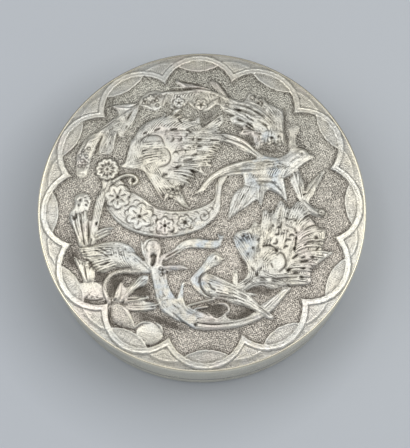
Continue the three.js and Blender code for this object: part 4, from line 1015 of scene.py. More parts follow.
def lower_leaf():
    """The broad leaf at the lower right, with its scrolls, scallops and drilled eyes"""
    mound(LOWER_LEAF, 0.6, hatched=1)
    swell(LOWER_LEAF_HEART, 0.25, 2)
    fringe([(12.6, -19.4), (12.8, -16.6)], [(8.4, -9.4), (12.2, -7)], bow=-0.14)
    fringe([(13.8, -18), (14.6, -12.4)], [(12.6, -6.4), (15.4, -5)], bow=-0.06)
    fringe([(15, -13.4), (17, -10.4)], [(16.2, -1.7), (19, -2)])
    fringe([(18.2, -10.4), (19.8, -7.4)], [(18.8, -1.8), (21.4, 0.8)])
    fringe([(20.6, -6.6), (22.4, -4.6)], [(21.8, 0.4), (23.6, -0.6)])
    fringe([(22.4, -6), (24.8, -7)], [(24.2, -0.8), (28.4, 0.6)])
    fringe([(25, -7), (25.4, -9.2)], [(28.6, -1.2), (30, -4.4)], bow=0.12)
    fringe([(25.2, -9.2), (25, -11.6)], [(31, -6), (33.4, -7.6)], bow=0.14)
    fringe([(24.8, -11.8), (24.8, -13.6)], [(33, -9.6), (32.4, -12.2)], bow=0.12)
    fringe([(25, -14.2), (24.6, -15.8)], [(34.4, -12.8), (32, -15.6)], bow=0.06)
    fringe([(23.4, -16.8), (22.8, -18.6)], [(31.2, -16.2), (29.4, -18.8)], bow=0.05)
    fringe([(20.4, -19.4), (18.6, -20.4)], [(29, -19.4), (28.4, -21.4)])
    fringe([(14.6, -18.2), (15.6, -18)], [(15.6, -8.4), (18.6, -9.4)], 0.34, 0.12, bow=-0.04, uneven=0.35)
    fringe([(19.8, -12.2), (21.6, -12.8)], [(20.4, -6.4), (22.8, -6.8)], 0.34, 0.08, bow=-0.05,
           uneven=0.4)
    fringe([(22, -18.4), (22.8, -14.6)], [(24, -13.2), (24.8, -9)], 0.34, 0.08, uneven=0.4)
    dull_patch([(20.8, -5), (23, -4.6), (25.2, -5.4), (25, -8.6), (23.6, -9.6), (21.4, -9)], 0.3)
    dull_patch([(23.6, -15.8), (27, -15.2), (29.4, -17), (29, -20.6), (25, -20.8), (22.6, -18.6)], 0.16)
    dull_patch([(15, -21), (20, -20.6), (28.6, -20.8), (28, -22), (20, -22.4), (15, -21.8)], 0.2)
    swell([(18.2, -14), (20.4, -13.2), (22, -14.6), (22, -17), (20.4, -18.6), (18, -18)], 0.28, 0.8)
    swell([(15.2, -13.4), (16.4, -12), (18.8, -12), (19.8, -13.6), (18, -15.4), (15.6, -15)], 0.22, 0.8)
    fringe([(15.2, -16.6), (16.6, -17.8)], [(18.6, -12.4), (21.2, -14.6)], 0.34, 0.14, bow=0.12,
           uneven=0.3)
    fringe([(14.6, -17.8), (17.8, -19.2)], [(14.6, -13), (17, -15.4)], 0.34, 0.14, uneven=0.4)
    grooves([
        (0.24, (19.9, -14.2), (20.8, -13.4), (21.8, -14.2), (22.3, -15.6), (22, -17.2), (20.4, -18.8)),
        (0.28, (16, -11.8), (17.6, -11.5), (19, -11.9), (20, -13.1)),
        (0.26, (18.2, -16.4), (18.8, -17.6)), (0.24, (21.3, -5), (21.1, -6.4), (20.1, -6.6)),
        (0.28, (20.6, -7.2), (20.5, -8.4), (19.5, -8.6)),
        (0.28, (19.9, -9.7), (19.9, -10.9), (18.8, -11.1)),
        (0.26, (23.2, -9.2), (23.9, -8.5), (24.8, -8.9)),
        (0.26, (22.1, -10.6), (22.7, -9.9), (23.9, -10)),
        (0.26, (21.7, -12.4), (22.2, -11.7), (23, -11.8)), (0.28, (25.3, -9), (25, -11), (24.6, -12.8)),
        (0.22, (22, -3.6), (23.4, -4.4), (24.8, -4.2)), (0.26, (27, -4.6), (28.3, -3.6), (29.6, -3.1)),
        (0.26, (27.2, -7.4), (28.8, -6.4), (30.6, -5.6)),
        (0.28, (27.2, -11.4), (28.8, -10.5), (31.4, -10.4)), (0.24, (30.4, -12.8), (31.5, -11.6)),
        (0.36, (24, -15.1), (25.6, -13.9)), (0.28, (26.4, -15), (27.6, -14.4)),
        (0.28, (26.2, -15.9), (28.4, -15.5)), (0.34, (22.4, -18.4), (24, -17.6)),
        (0.24, (26, -17.8), (27.6, -17.5)), (0.26, (24.2, -18.9), (25.6, -18.8)),
    ], 0.4)
    ridges([
        (0.7, (10.4, -23.7), (13.4, -21.4), (17.6, -20.9), (22, -21.8), (28, -21.6)),
        (0.5, (10.8, -22), (12.8, -20.8), (14.6, -20)),
    ], 0.28)
    grooves([
        (0.26, (18.4, -20.6), (22, -20.3), (25.4, -20)), (0.26, (13, -17.4), (13.9, -18.5)),
        (0.26, (15.2, -18.2), (15.8, -17.6)), (0.2, (13.6, -20.2), (11.4, -22)),
        (0.24, (15.4, -20), (16.6, -20.6)), (0.34, (22.4, -22), (23.4, -22.6)),
    ], 0.34)
    drills([
        (11, -9, 0.34), (14.9, -10, 0.3), (13.5, -12.2, 0.3), (12.2, -13.8, 0.3), (14.5, -19.3, 0.5),
        (26.5, -20, 0.55), (29.6, -14.7, 0.55), (30.7, -9.3, 0.5), (25.4, -8, 0.28), (25.2, -9.6, 0.24),
        (24.7, -12.4, 0.36), (23, -18.1, 0.4), (23, -7.5, 0.24), (25, -7.3, 0.22), (19, -6.1, 0.34),
        (19.9, -12.8, 0.5), (25, -4.6, 0.3), (25.4, -5.6, 0.24), (24, -5.2, 0.22), (27, -17.6, 0.24),
    ], 0.44)
    rings([(30.7, -9.3, 1.0), (29.6, -14.7, 0.95), (26.5, -20, 0.95)], 0.14)


def side_leaves():
    """The forked leaf and the drilled curl beyond the lower leaf"""
    mound(SIDE_LEAVES, 0.55, hatched=0.4)
    fringe([(26.8, 1.6), (27.6, 2)], [(24.4, 8.4), (26.4, 10)], 0.42)
    fringe([(27.4, 1.8), (28.2, 1.6)], [(31.6, 8.6), (33.8, 9.4)], 0.42)
    ridges([(0.6, (27.2, 1), (28.8, -1), (30.8, -2.4), (33.4, -2.8))], 0.34)
    grooves([
        (0.25, (26.9, 2.2), (26.6, 5), (26.4, 8)), (0.25, (28.4, 2.6), (30.4, 5.4), (32.4, 8.2)),
        (0.3, (27.4, 2.4), (28.4, 3.2)), (0.26, (25.6, 1.4), (26.6, 0.6)),
    ], 0.28)
    beads([(32.4, -2.2, 1.0)], 0.3)
    drills([(32.3, -2.3, 0.38)])


# Pockets of ground that are darkened
POCKETS = [
    [(-19, -22.4), (-15.2, -21.6), (-13.6, -22.6), (-13.4, -24.6), (-16, -25), (-19.4, -24.4)],
    [(-19.4, -25.4), (-14, -25.2), (-11.6, -26.6), (-15, -27), (-19, -27)],
    [(-17.6, -29.2), (-12.4, -29.6), (-9, -31), (-6, -32.6), (-4.6, -34), (-8, -33.6), (-13, -31.6),
     (-17, -31.2)],
    [(-28.6, -17.6), (-25, -18.2), (-24, -19.6), (-26.4, -21), (-27, -21.4), (-29, -20.4)],
    [(-24.4, -19.2), (-21, -19.2), (-21.6, -21.6), (-24.6, -25.4), (-25.6, -24)],
    [(-22, -17.8), (-18, -18.6), (-14, -19.6), (-17, -20.6), (-21, -19.6)],
    [(10.4, -28), (14, -28.6), (12, -31), (7, -31.2), (6.8, -30.2)],
    [(22.9, 26.8), (23.4, 26.8), (23.3, 21.6), (23.8, 16.6), (23.2, 16.4), (22.9, 20)],
    [(15.8, 15.8), (18.6, 16), (21.8, 15.8), (22.2, 14.8), (19.6, 14.2), (16.4, 14.6)],
    [(11.8, -22.8), (15, -22.5), (18.4, -23), (19.2, -24), (17, -24.8), (14, -24.5)],
    [(9.9, -13.8), (11.2, -15.4), (11.8, -18), (10.9, -20.8), (9.9, -20.8), (10.7, -18), (10.1, -16)],
    [(-35.6, -11.4), (-33.8, -12), (-32.6, -14.6), (-33.6, -16.4), (-36.4, -15.6)],
    [(-2.6, -29), (1.4, -26.8), (5.6, -27.4), (5.8, -29.6), (3.6, -30.4), (0.6, -29)],
]

# Border: twelve round lobes that meet in cusps, drawn a little unsteadily
LOBES = 12
LOBE_TURN = math.radians(1)
LOBE_CENTRE = 32.5
LOBE_SWAY = 0.1
LOBE_DRIFT = 0.006
LINE_SHAKE = 0.09
BORDER_START = 34.0

# Its ribbon with a rim on each side, and the bare rim of the lid beyond
RIBBON_INNER = 9.9
RIBBON_WIDTH = 1.6
RIBBON_RELIEF = 0.72
RIBBON_FLAT = 0.68
RIBBON_RIM = 0.24
RIM_INSET = 0.1
RIM_RELIEF = 0.2
RIM_FOOT = 0.06
RIM_SLOPE = 1.8
SEAM_END = 43.1
INNER_SEAM_INK = 0.35
OUTER_SEAM_INK = 0.22

# The lens inside each lobe, and the pad outside each cusp; both are hatched with rays
LENS_CENTRE = 49.6
LENS_RADIUS = 10.7
LENS_RELIEF = 0.32
LENS_GAP = 0.08
LENS_EDGE = (0.26, 0.22, 0.24)
LENS_HATCH = 0.02
LENS_MATTING = 0.22
PAD_CENTRE = 33.0
PAD_RADIUS = 10.2
PAD_RELIEF = 0.34
PAD_GAP = 1.1
PAD_EDGE = (0.26, 0.2, 0.12)
PAD_DOME = (41, 2.6, 5.4)
PAD_MATTING = 0.22
LENS_RAYS = 40
PAD_RAYS = 42
RAY_HATCHING = 0.5
RIM_HATCHING = 0.25


def edge_of(gap, edge):
    """The raised edge of a lens or pad, from how far inside it a cell lies"""
    place, width, rise = edge
    shape = ridge_line(gap - place, width)
    return shape, rise * shape


def border():
    """Twelve lobes: a flat ribbon with two rims, a lens inside each lobe and a pad outside each cusp"""
    radius = np.hypot(sheet_x, sheet_y)
    angle = np.arctan2(sheet_y, sheet_x) - LOBE_TURN
    shaky = np.sin(1.9 * sheet_x + 1.1 * sheet_y) * np.sin(1.3 * sheet_x - 2.1 * sheet_y)
    drawn = radius + LOBE_SWAY * np.sin(5 * angle + 0.6) + LINE_SHAKE * shaky
    angle = angle + LOBE_DRIFT * np.sin(7 * angle + 1.9)
    pitch = 2 * math.pi / LOBES
    off_lobe = (angle + pitch / 2) % pitch - pitch / 2
    off_cusp = angle % pitch - pitch / 2
    outward, sideways = drawn * np.cos(off_lobe), drawn * np.sin(off_lobe)
    across = (np.hypot(outward - LOBE_CENTRE, sideways) - RIBBON_INNER) / RIBBON_WIDTH
    on_border = radius > BORDER_START
    ribbon = on_border & (across > 0) & (across < 1)
    rims = ridge_line(across - RIM_INSET, RIM_INSET) + ridge_line(across - (1 - RIM_INSET), RIM_INSET)
    relief[:] = np.where(ribbon, RIBBON_RELIEF * (RIBBON_FLAT + RIBBON_RIM * rims), relief)
    in_lens = LENS_RADIUS - np.hypot(outward - LENS_CENTRE, sideways)
    lens = on_border & (across < -LENS_GAP) & (in_lens > 0)
    edge, rise = edge_of(in_lens, LENS_EDGE)
    hatch = LENS_HATCH * np.sin(off_lobe * LENS_RAYS * math.pi / pitch)
    relief[:] = np.where(lens, LENS_RELIEF + rise + hatch * (1 - edge), relief)
    outward, sideways = drawn * np.cos(off_cusp), drawn * np.sin(off_cusp)
    in_pad = PAD_RADIUS - np.hypot(outward - PAD_CENTRE, sideways)
    pad = on_border & (across > PAD_GAP) & (in_pad > 0)
    middle, length, width = PAD_DOME
    bulge = np.clip(1 - np.hypot((outward - middle) / length, sideways / width) ** 2, 0, 1)
    _, rise = edge_of(in_pad, PAD_EDGE)
    relief[:] = np.where(pad, PAD_RELIEF * (0.75 + 0.45 * bulge) + rise, relief)
    rim = on_border & (across > PAD_GAP) & (in_pad <= 0)
    rim_rise = RIM_RELIEF * np.clip((DOME_EDGE - radius) / RIM_SLOPE, 0, 1)
    relief[:] = np.where(rim, RIM_FOOT + rim_rise, relief)
    seam = on_border & ((np.abs(across + 0.04) < 0.04) | (np.abs(across - 1.05) < 0.05))
    ink[:] = np.where(ribbon | lens | pad | rim, 0, ink)
    ink[:] = np.where(seam & (radius < SEAM_END), np.where(across < 0, INNER_SEAM_INK, OUTER_SEAM_INK), ink)
    ground[:] *= ~(ribbon | rim | seam | (radius > DOME_EDGE))
    ground[:] = np.where(lens & (in_lens > 0.6), LENS_MATTING, np.where(lens, 0, ground))
    ground[:] = np.where(pad & (in_pad > 0.5), PAD_MATTING, np.where(pad, 0, ground))
    covered = on_border & (ground < 0.9)
    strands[:] = np.where(covered, 0.5 * STRAND_PITCH, strands)
    rays = np.where(pad, PAD_RAYS * (off_cusp + pitch), strands)
    strands[:] = np.where(lens, LENS_RAYS * (off_lobe + pitch), rays)
    satin[:] = np.where(covered, RIM_HATCHING, satin)
    satin[:] = np.where((lens & (in_lens > 0.5)) | (pad & (in_pad > 0.5)), RAY_HATCHING, satin)


def edge_lines(before_border):
    """Lines that follow every edge, and a dark line of oxide round each figure and the border"""
    new_edge = (ground < 0.5) & (before_border > 0.5) & (np.hypot(sheet_x, sheet_y) > BORDER_START)
    to_border = distance_from(new_edge, BORDER_REACH)
    to_ground = distance_from(ground > 0.5, EDGE_REACH)
    to_figure = distance_from(ground < 0.5, EDGE_REACH)
    strands[:] = np.where(ground > 0.5, to_figure, np.where(strands < 0, to_ground, strands))
    edging = np.where(to_border < BORDER_REACH, BORDER_INK, FIGURE_INK) * ground
    ink[:] = np.clip(np.maximum(ink, edging * ridge_line(to_figure, OUTLINE_WIDTH)), 0, 1)


def darken_pockets():
    """Darkens the narrow pockets of ground between the figures"""
    # darker where the ground is closed in by figures, and inside the listed pockets
    narrow = np.clip((POCKET_OPEN - blurred(ground, POCKET_REACH)) / POCKET_SOFT, 0, 1) * (ground > 0.5)
    ink[:] = np.maximum(ink, NARROW_INK * narrow)
    for outline in POCKETS:
        cells, inside = filled(outline, 1)
        dark = POCKET_INK * blurred(inside, 0.3)
        ink[cells] = np.maximum(ink[cells], dark * (ground[cells] > 0.5))


def hand_work():
    """The slow unevenness of hammered sheet"""
    waves = (np.sin(0.31 * sheet_x + 0.9) * np.sin(0.27 * sheet_y + 2.1)
             + 0.6 * np.sin(0.52 * sheet_x - 0.38 * sheet_y + 0.4)
             + 0.35 * np.sin(0.93 * sheet_y + 0.71 * sheet_x))
    relief[:] += HAMMER_WAVES * waves


for figure in (garland, curled_tendril, spray_leaf, twig, upper_wing, flying_bird, upper_leaf, tail_plumes,
               tree, crouching_bird, lower_twigs, perched_bird, lower_leaf, side_leaves):
    figure()
before_border = ground.copy()
border()
edge_lines(before_border)
darken_pockets()
relief[:] = np.maximum(blurred(relief, 0.1), DEEPEST_CUT)
hand_work()

# Sheet of the lid's top
TOP_SHEET = 0.7
TOP_EDGE = 44.25
TOP_CELLS = 560
TOP_TRIANGLES = 196000
UNDER_SHARE = 8
UNDER_DEPTH = 0.6
UNDER_SOFT = 0.8
UNDER_MARGIN = 0.6
SIDE_FACING = 0.2
HOLLOW_REACH = 0.5


def dome(radius):
    """Height of the plain dome at a distance from the axis"""
    return SHOULDER_HEIGHT + DOME_RISE * (1 - (radius / LID_RADIUS) ** DOME_POWER)


def sampled(field, x, y):
    """A sheet's value at any points, between its cells"""
    u = np.clip((np.asarray(x) + LID_RADIUS) / GRAIN, 0, SHEET_CELLS - 1.001)
    v = np.clip((np.asarray(y) + LID_RADIUS) / GRAIN, 0, SHEET_CELLS - 1.001)
    i, j = u.astype(int), v.astype(int)
    s, t = u - i, v - j
    low = field[j, i] * (1 - s) + field[j, i + 1] * s
    high = field[j + 1, i] * (1 - s) + field[j + 1, i + 1] * s
    return low * (1 - t) + high * t


def disc(cells, edge):
    """A square grid bent into a disc: its x and y, the corners round its edge, and its quads"""
    line = np.linspace(-1, 1, cells + 1)
    a, b = np.meshgrid(line, line)
    wide = np.abs(a) >= np.abs(b)
    reach = np.where(wide, a, b)
    safe = np.where(reach == 0, 1, reach)
    turn = np.where(wide, math.pi / 4 * b / safe, math.pi / 2 - math.pi / 4 * a / safe)
    x, y = edge * reach * np.cos(turn), edge * reach * np.sin(turn)
    number = np.arange((cells + 1) ** 2).reshape(cells + 1, cells + 1)
    ring = np.concatenate([number[0, :-1], number[:-1, -1], number[-1, :0:-1], number[:0:-1, 0]])
    quads = np.stack([number[:-1, :-1], number[:-1, 1:], number[1:, 1:], number[1:, :-1]], -1).reshape(-1, 4)
    return x.ravel(), y.ravel(), ring, quads


def mesh_from(name, points, triangles):
    """A Blender mesh from an array of points in millimetres and one of triangles"""
    mesh = bpy.data.meshes.new(name)
    mesh.vertices.add(len(points))
    mesh.vertices.foreach_set("co", (np.asarray(points) * MM).ravel())
    mesh.loops.add(3 * len(triangles))
    mesh.loops.foreach_set("vertex_index", np.asarray(triangles).ravel().astype(np.int32))
    mesh.polygons.add(len(triangles))
    mesh.polygons.foreach_set("loop_start", np.arange(0, 3 * len(triangles), 3, dtype=np.int32))
    mesh.update(calc_edges=True)
    return mesh


def lid_top_solid():
    """The closed sheet of the lid's top: chased above, and hollow below where it was raised"""
    x, y, ring, quads = disc(TOP_CELLS, TOP_EDGE)
    above = np.stack([x, y, dome(np.hypot(x, y)) + sampled(relief, x, y)], -1)
    u, v, under_ring, under_quads = disc(TOP_CELLS // UNDER_SHARE, TOP_EDGE)
    raised_from = np.hypot(u, v) < DOME_EDGE - UNDER_MARGIN
    hollow = UNDER_DEPTH * sampled(blurred(relief, UNDER_SOFT), u, v) * raised_from
    below = np.stack([u, v, dome(np.hypot(u, v)) - TOP_SHEET + hollow], -1)
    under_ring = under_ring + len(above)
    under_quads = under_quads[:, ::-1] + len(above)
    faces = np.concatenate([quads, under_quads])
    triangles = [faces[:, [0, 1, 2]], faces[:, [0, 2, 3]]]
    step = np.arange(len(ring))
    coarse = under_ring[step // UNDER_SHARE]
    triangles.append(np.stack([ring, coarse, np.roll(ring, -1)], -1))
    corner = ring[::UNDER_SHARE]
    triangles.append(np.stack([np.roll(corner, -1), under_ring, np.roll(under_ring, -1)], -1))
    return np.concatenate([above, below]), np.concatenate(triangles)


def thinned(mesh, triangles):
    """The same mesh with fewer triangles, kept where the surface bends"""
    source = bpy.data.objects.new("thinned", mesh)
    bpy.context.collection.objects.link(source)
    thin = source.modifiers.new("thin", "DECIMATE")
    thin.ratio = triangles / len(mesh.polygons)
    graph = bpy.context.evaluated_depsgraph_get()
    result = bpy.data.meshes.new_from_object(source.evaluated_get(graph))
    bpy.data.objects.remove(source)
    return result


def surface_normals(slopes, x, y, below=False):
    """Unit normals of the dome raised by a sheet, from the sheet's slopes away and to the right"""
    away, across = (sampled(slope, x, y) for slope in slopes)
    radius = np.maximum(np.hypot(x, y), 1e-6)
    fall = -DOME_RISE * DOME_POWER * radius ** (DOME_POWER - 1) / LID_RADIUS ** DOME_POWER
    normals = np.stack([-(across + fall * x / radius), -(away + fall * y / radius), np.ones_like(x)], -1)
    normals /= np.linalg.norm(normals, axis=-1, keepdims=True)
    return -normals if below else normals


def numbers_of(rows, name, width, kind=float):
    """A mesh's own numbers as an array, `width` to a row"""
    numbers = np.empty(width * len(rows), kind)
    rows.foreach_get(name, numbers)
    return numbers.reshape(-1, width)


def lid_top_mesh():
    """The chased sheet, smoothly shaded from the drawing itself, with what its finish reads"""
    mesh = thinned(mesh_from("chased_lid_top", *lid_top_solid()), TOP_TRIANGLES)
    places = numbers_of(mesh.vertices, "co", 3) / MM
    facing = np.repeat(numbers_of(mesh.polygons, "normal", 3), 3, axis=0)
    corners = numbers_of(mesh.loops, "vertex_index", 1, np.int32).ravel()
    x, y = places[corners, 0], places[corners, 1]
    top = surface_normals(np.gradient(relief, GRAIN), x, y)
    under_slopes = np.gradient(UNDER_DEPTH * blurred(relief, UNDER_SOFT), GRAIN)
    under = surface_normals(under_slopes, x, y, below=True)
    upright = facing[:, 2:]
    normals = np.where(upright > SIDE_FACING, top, np.where(upright < -SIDE_FACING, under, facing))
    mesh.polygons.foreach_set("use_smooth", np.ones(len(mesh.polygons), bool))
    mesh.normals_split_custom_set(normals)
    on_top = places[:, 2] > dome(np.hypot(places[:, 0], places[:, 1])) - 0.5 * TOP_SHEET
    around = blurred(relief, HOLLOW_REACH)
    drawn = {
        "matted": blurred(ground, 0.1),
        "ink": ink,
        "strands": strands,
        "satin": blurred(satin, 0.2),
        "hollow": np.clip(around - relief, 0, 1),
        "proud": np.clip(relief - around, 0, 1),
    }
    for name, field in drawn.items():
        values = sampled(field, places[:, 0], places[:, 1]) * on_top
        mesh.attributes.new(name, "FLOAT", "POINT").data.foreach_set("value", values)
    return mesh


def node(tree, kind, inputs=None, **settings):
    """Adds a node; an input that is a socket is linked, any other is set"""
    made = tree.nodes.new(kind)
    for name, value in settings.items():
        setattr(made, name, value)
    for name, value in (inputs or {}).items():
        if isinstance(value, bpy.types.NodeSocket):
            tree.links.new(value, made.inputs[name])
        else:
            made.inputs[name].default_value = value
    return made


def sum_of(tree, operation, first, second=0.0):
    """Two values added, multiplied or the like"""
    return node(tree, "ShaderNodeMath", {0: first, 1: second}, operation=operation).outputs[0]


# Turned walls and wires, in millimetres
TURN_SEGMENTS = 288
WIRE_ROUND_STEPS = 10
EDGE_ROUND = 0.25
WALL_ROWS = 18
MERGE_DISTANCE = 0.01
WOBBLE_SCALE = 120.0
SHARP_ANGLE = math.radians(40)
LATHE_INPUTS = {"Outline": "Geometry", "Segments": "Int", "Path radius": "Float", "Wobble": "Float",
                "Wobble scale": "Float", "Seed": "Float", "Finish": "Material"}


def lathe_tree():
    """Geometry nodes: sweeps a closed outline round the upright axis, with a slight hand-made wobble"""
    tree = bpy.data.node_groups.new("turned_ring", "GeometryNodeTree")
    tree.is_modifier = True
    for name, kind in LATHE_INPUTS.items():
        tree.interface.new_socket(name, in_out="INPUT", socket_type="NodeSocket" + kind)
    tree.interface.new_socket("Ring", in_out="OUTPUT", socket_type="NodeSocketGeometry")
    given = node(tree, "NodeGroupInput").outputs
    outline = node(tree, "GeometryNodeMeshToCurve", {"Mesh": given["Outline"]}).outputs["Curve"]
    path = node(tree, "GeometryNodeCurvePrimitiveCircle", {
        "Resolution": given["Segments"], "Radius": given["Path radius"]}).outputs["Curve"]
    sweep = node(tree, "GeometryNodeCurveToMesh", {"Curve": path, "Profile Curve": outline}).outputs["Mesh"]
    merged = node(tree, "GeometryNodeMergeByDistance", {
        "Geometry": sweep, "Distance": MERGE_DISTANCE * MM}).outputs["Geometry"]
    place = node(tree, "GeometryNodeInputPosition").outputs["Position"]
    flat = node(tree, "ShaderNodeVectorMath", {0: place, 1: (1, 1, 0)}, operation="MULTIPLY").outputs[0]
    outward = node(tree, "ShaderNodeVectorMath", {0: flat}, operation="NORMALIZE").outputs[0]
    noise = node(tree, "ShaderNodeTexNoise", noise_dimensions="4D", inputs={
        "Vector": place, "W": given["Seed"], "Scale": given["Wobble scale"]}).outputs[0]
    push = sum_of(tree, "MULTIPLY", noise, given["Wobble"])
    shift = node(tree, "ShaderNodeVectorMath", {0: outward, "Scale": push}, operation="SCALE").outputs[0]
    moved = node(tree, "GeometryNodeSetPosition", {"Geometry": merged, "Offset": shift}).outputs["Geometry"]
    real = node(tree, "GeometryNodeRealizeInstances", {"Geometry": moved}).outputs["Geometry"]
    ring = node(tree, "GeometryNodeSetMaterial", {"Geometry": real, "Material": given["Finish"]})
    node(tree, "NodeGroupOutput", {"Ring": ring.outputs["Geometry"]})
    return tree


def turned_piece(name, outline, material, wobble, seed):
    """A ring or plate turned from a closed outline of (radius, height), as a plain mesh"""
    points = [((radius - LID_RADIUS) * MM, -height * MM, 0) for radius, height in outline[::-1]]
    ends_on_axis = outline[0][0] == 0 and outline[-1][0] == 0
    edges = [(k, (k + 1) % len(points)) for k in range(len(points) - ends_on_axis)]
    profile = bpy.data.meshes.new(name)
    profile.from_pydata(points, edges, [])
    piece = bpy.data.objects.new(name, profile)
    bpy.context.collection.objects.link(piece)
    lathe = piece.modifiers.new("turned", "NODES")
    sizes = {"Segments": TURN_SEGMENTS, "Path radius": LID_RADIUS * MM, "Wobble": -wobble * MM,
             "Wobble scale": WOBBLE_SCALE, "Seed": seed, "Finish": material}
    lathe.node_group = turned_ring
    for socket in turned_ring.interface.items_tree:
        if socket.name in sizes:
            lathe[socket.identifier] = sizes[socket.name]
    graph = bpy.context.evaluated_depsgraph_get()
    mesh = bpy.data.meshes.new_from_object(piece.evaluated_get(graph))
    piece.modifiers.clear()
    piece.data = mesh
    mesh.shade_smooth()
    mesh.set_sharp_from_angle(angle=SHARP_ANGLE)
    return piece


def blend(tree, share, first, second):
    """A colour mixed from two colours"""
    return node(tree, "ShaderNodeMix", {0: share, 6: first, 7: second}, data_type="RGBA").outputs[2]


def spread(tree, value, low, high, to_low=0.0, to_high=1.0):
    """A value mapped from one range to another, held within its ends"""
    return node(tree, "ShaderNodeMapRange", {
        "Value": value, "From Min": low, "From Max": high, "To Min": to_low, "To Max": to_high}).outputs[0]


def read(tree, name):
    """A value that the mesh carries"""
    return node(tree, "ShaderNodeAttribute", attribute_name=name).outputs["Fac"]


def parts_of(tree, vector):
    """A vector's x, y and z"""
    return node(tree, "ShaderNodeSeparateXYZ", {0: vector}).outputs


def distance_to(tree, place, middle):
    """How far a place is from a fixed one"""
    return node(tree, "ShaderNodeVectorMath", {0: place, 1: middle}, operation="DISTANCE").outputs["Value"]


def new_finish(name):
    """A material with an empty tree and its place in the object's own coordinates"""
    material = bpy.data.materials.new(name)
    material.use_nodes = True
    tree = material.node_tree
    tree.nodes.clear()
    place = node(tree, "ShaderNodeTexCoord").outputs["Object"]
    return material, tree, place


def cloud(tree, place, scale, detail=3.0, roughness=0.5):
    """Soft noise from 0 to 1, its scale in waves a metre"""
    return node(tree, "ShaderNodeTexNoise", {
        "Vector": place, "Scale": scale, "Detail": detail, "Roughness": roughness}).outputs[0]


def bump(tree, height, distance, strength=1.0, under=None):
    """Fine relief, its height in metres, over another where one is given"""
    inputs = {"Height": height, "Distance": distance, "Strength": strength}
    if under is not None:
        inputs["Normal"] = under
    return node(tree, "ShaderNodeBump", inputs).outputs[0]


def close(tree, colour, roughness, normal):
    """Ends a silver finish in its shader"""
    shader = node(tree, "ShaderNodeBsdfPrincipled", {
        "Base Color": colour, "Roughness": roughness, "Normal": normal, "Metallic": 1.0})
    node(tree, "ShaderNodeOutputMaterial", {"Surface": shader.outputs[0]})


def lines(tree, distance, pitch, low, high):
    """Fine lines that repeat every `pitch` millimetres of a distance: 1 on a line, else 0"""
    turns = sum_of(tree, "MULTIPLY", distance, 2 * math.pi / pitch)
    return spread(tree, sum_of(tree, "COSINE", turns), low, high)


def near_to(tree, place, places):
    """1 close to any of some places, 0 beyond; each is its middle and where its edge begins and ends"""
    share = 0.0
    for middle, near, far in places:
        closeness = spread(tree, distance_to(tree, place, middle), near, far, 1, 0)
        share = sum_of(tree, "MAXIMUM", share, closeness)
    return share


# Colours of the chased silver, the places painted with a highlight, and the places painted with a bluish
# reflection, in metres
WARM_SILVER = (0.905, 0.87, 0.765, 1)
COOL_SILVER = (0.82, 0.82, 0.78, 1)
ROSY_SILVER = (0.89, 0.815, 0.77, 1)
# painted highlight on the lower right of the border
PAINTED_HIGHLIGHT_SILVER = (0.97, 0.95, 0.9, 1)
PAINTED_HIGHLIGHT_PLACES = (((0.024, -0.034, 0.025), 0.009, 0.02), ((0.0125, -0.0395, 0.024), 0.003, 0.008))
# painted bluish reflection on the bodies, the tree and the bough
PAINTED_BLUE_REFLECTION = (0.56, 0.63, 0.7, 1)
BLUE_REFLECTION_PLACES = (
    ((-0.009, -0.023, 0.026), 0.003, 0.009), ((0.0005, -0.021, 0.027), 0.002, 0.006),
    ((0.0, -0.0105, 0.027), 0.003, 0.008), ((0.017, 0.009, 0.027), 0.003, 0.008),
    ((0.0105, -0.011, 0.027), 0.002, 0.006), ((-0.004, -0.031, 0.025), 0.002, 0.006),
    ((-0.0185, -0.013, 0.026), 0.001, 0.004), ((0.0175, 0.018, 0.026), 0.001, 0.005),
)
# dark oxide colour, also used for painted shade on the plain silver
OXIDE_AND_SHADE = (0.09, 0.078, 0.064, 1)
MATTED_BROWN = (0.93, 0.87, 0.79, 1)
MATTED_OLIVE = (0.87, 0.855, 0.77, 1)
MATTED_DARK = (0.06, 0.052, 0.043, 1)

# Marks of the tools: scales in marks a metre, depths in metres
STRAND_WANDER = 0.15
HAND_SCALE = 500
HAIR_DARKNESS = 0.7
HAIR_DEPTH = 1.6
PUNCH_ROW_PITCH = 0.62
PUNCH_ROW_SHARE = 0.55
PUNCH_SCALE = 2120.0
PUNCH_RANDOMNESS = 0.55
PUNCH_TURN = 0.4
PUNCH_DEPTH = 0.00016
BEATEN_SCALE = 800
STIPPLE_SCALE = 2600
BEATEN_HEIGHT = 2.7
BEATEN_DEPTH = 0.00006
MARK_STRENGTH = 0.8
SPECK_SCALE = 2400
BLUE_REFLECTION_SCALE = 330
MATT_ROUGHNESS = 0.14


def silver_tint(tree, place):
    """Bare silver: warm, with cool and rosy clouds and a few patches of painted bluish reflection"""
    tint = blend(tree, spread(tree, cloud(tree, place, 90, 4), 0.4, 0.62), WARM_SILVER, COOL_SILVER)
    tint = blend(tree, spread(tree, cloud(tree, place, 65, 3), 0.55, 0.66, 0, 0.7), tint, ROSY_SILVER)
    blue_reflection_cloud = spread(tree, cloud(tree, place, BLUE_REFLECTION_SCALE, 3), 0.4, 0.6, 0, 0.85)
    # painted bluish reflection, patchy
    blue_reflection = sum_of(tree, "MULTIPLY", near_to(tree, place, BLUE_REFLECTION_PLACES), blue_reflection_cloud)
    return blend(tree, blue_reflection, tint, PAINTED_BLUE_REFLECTION)


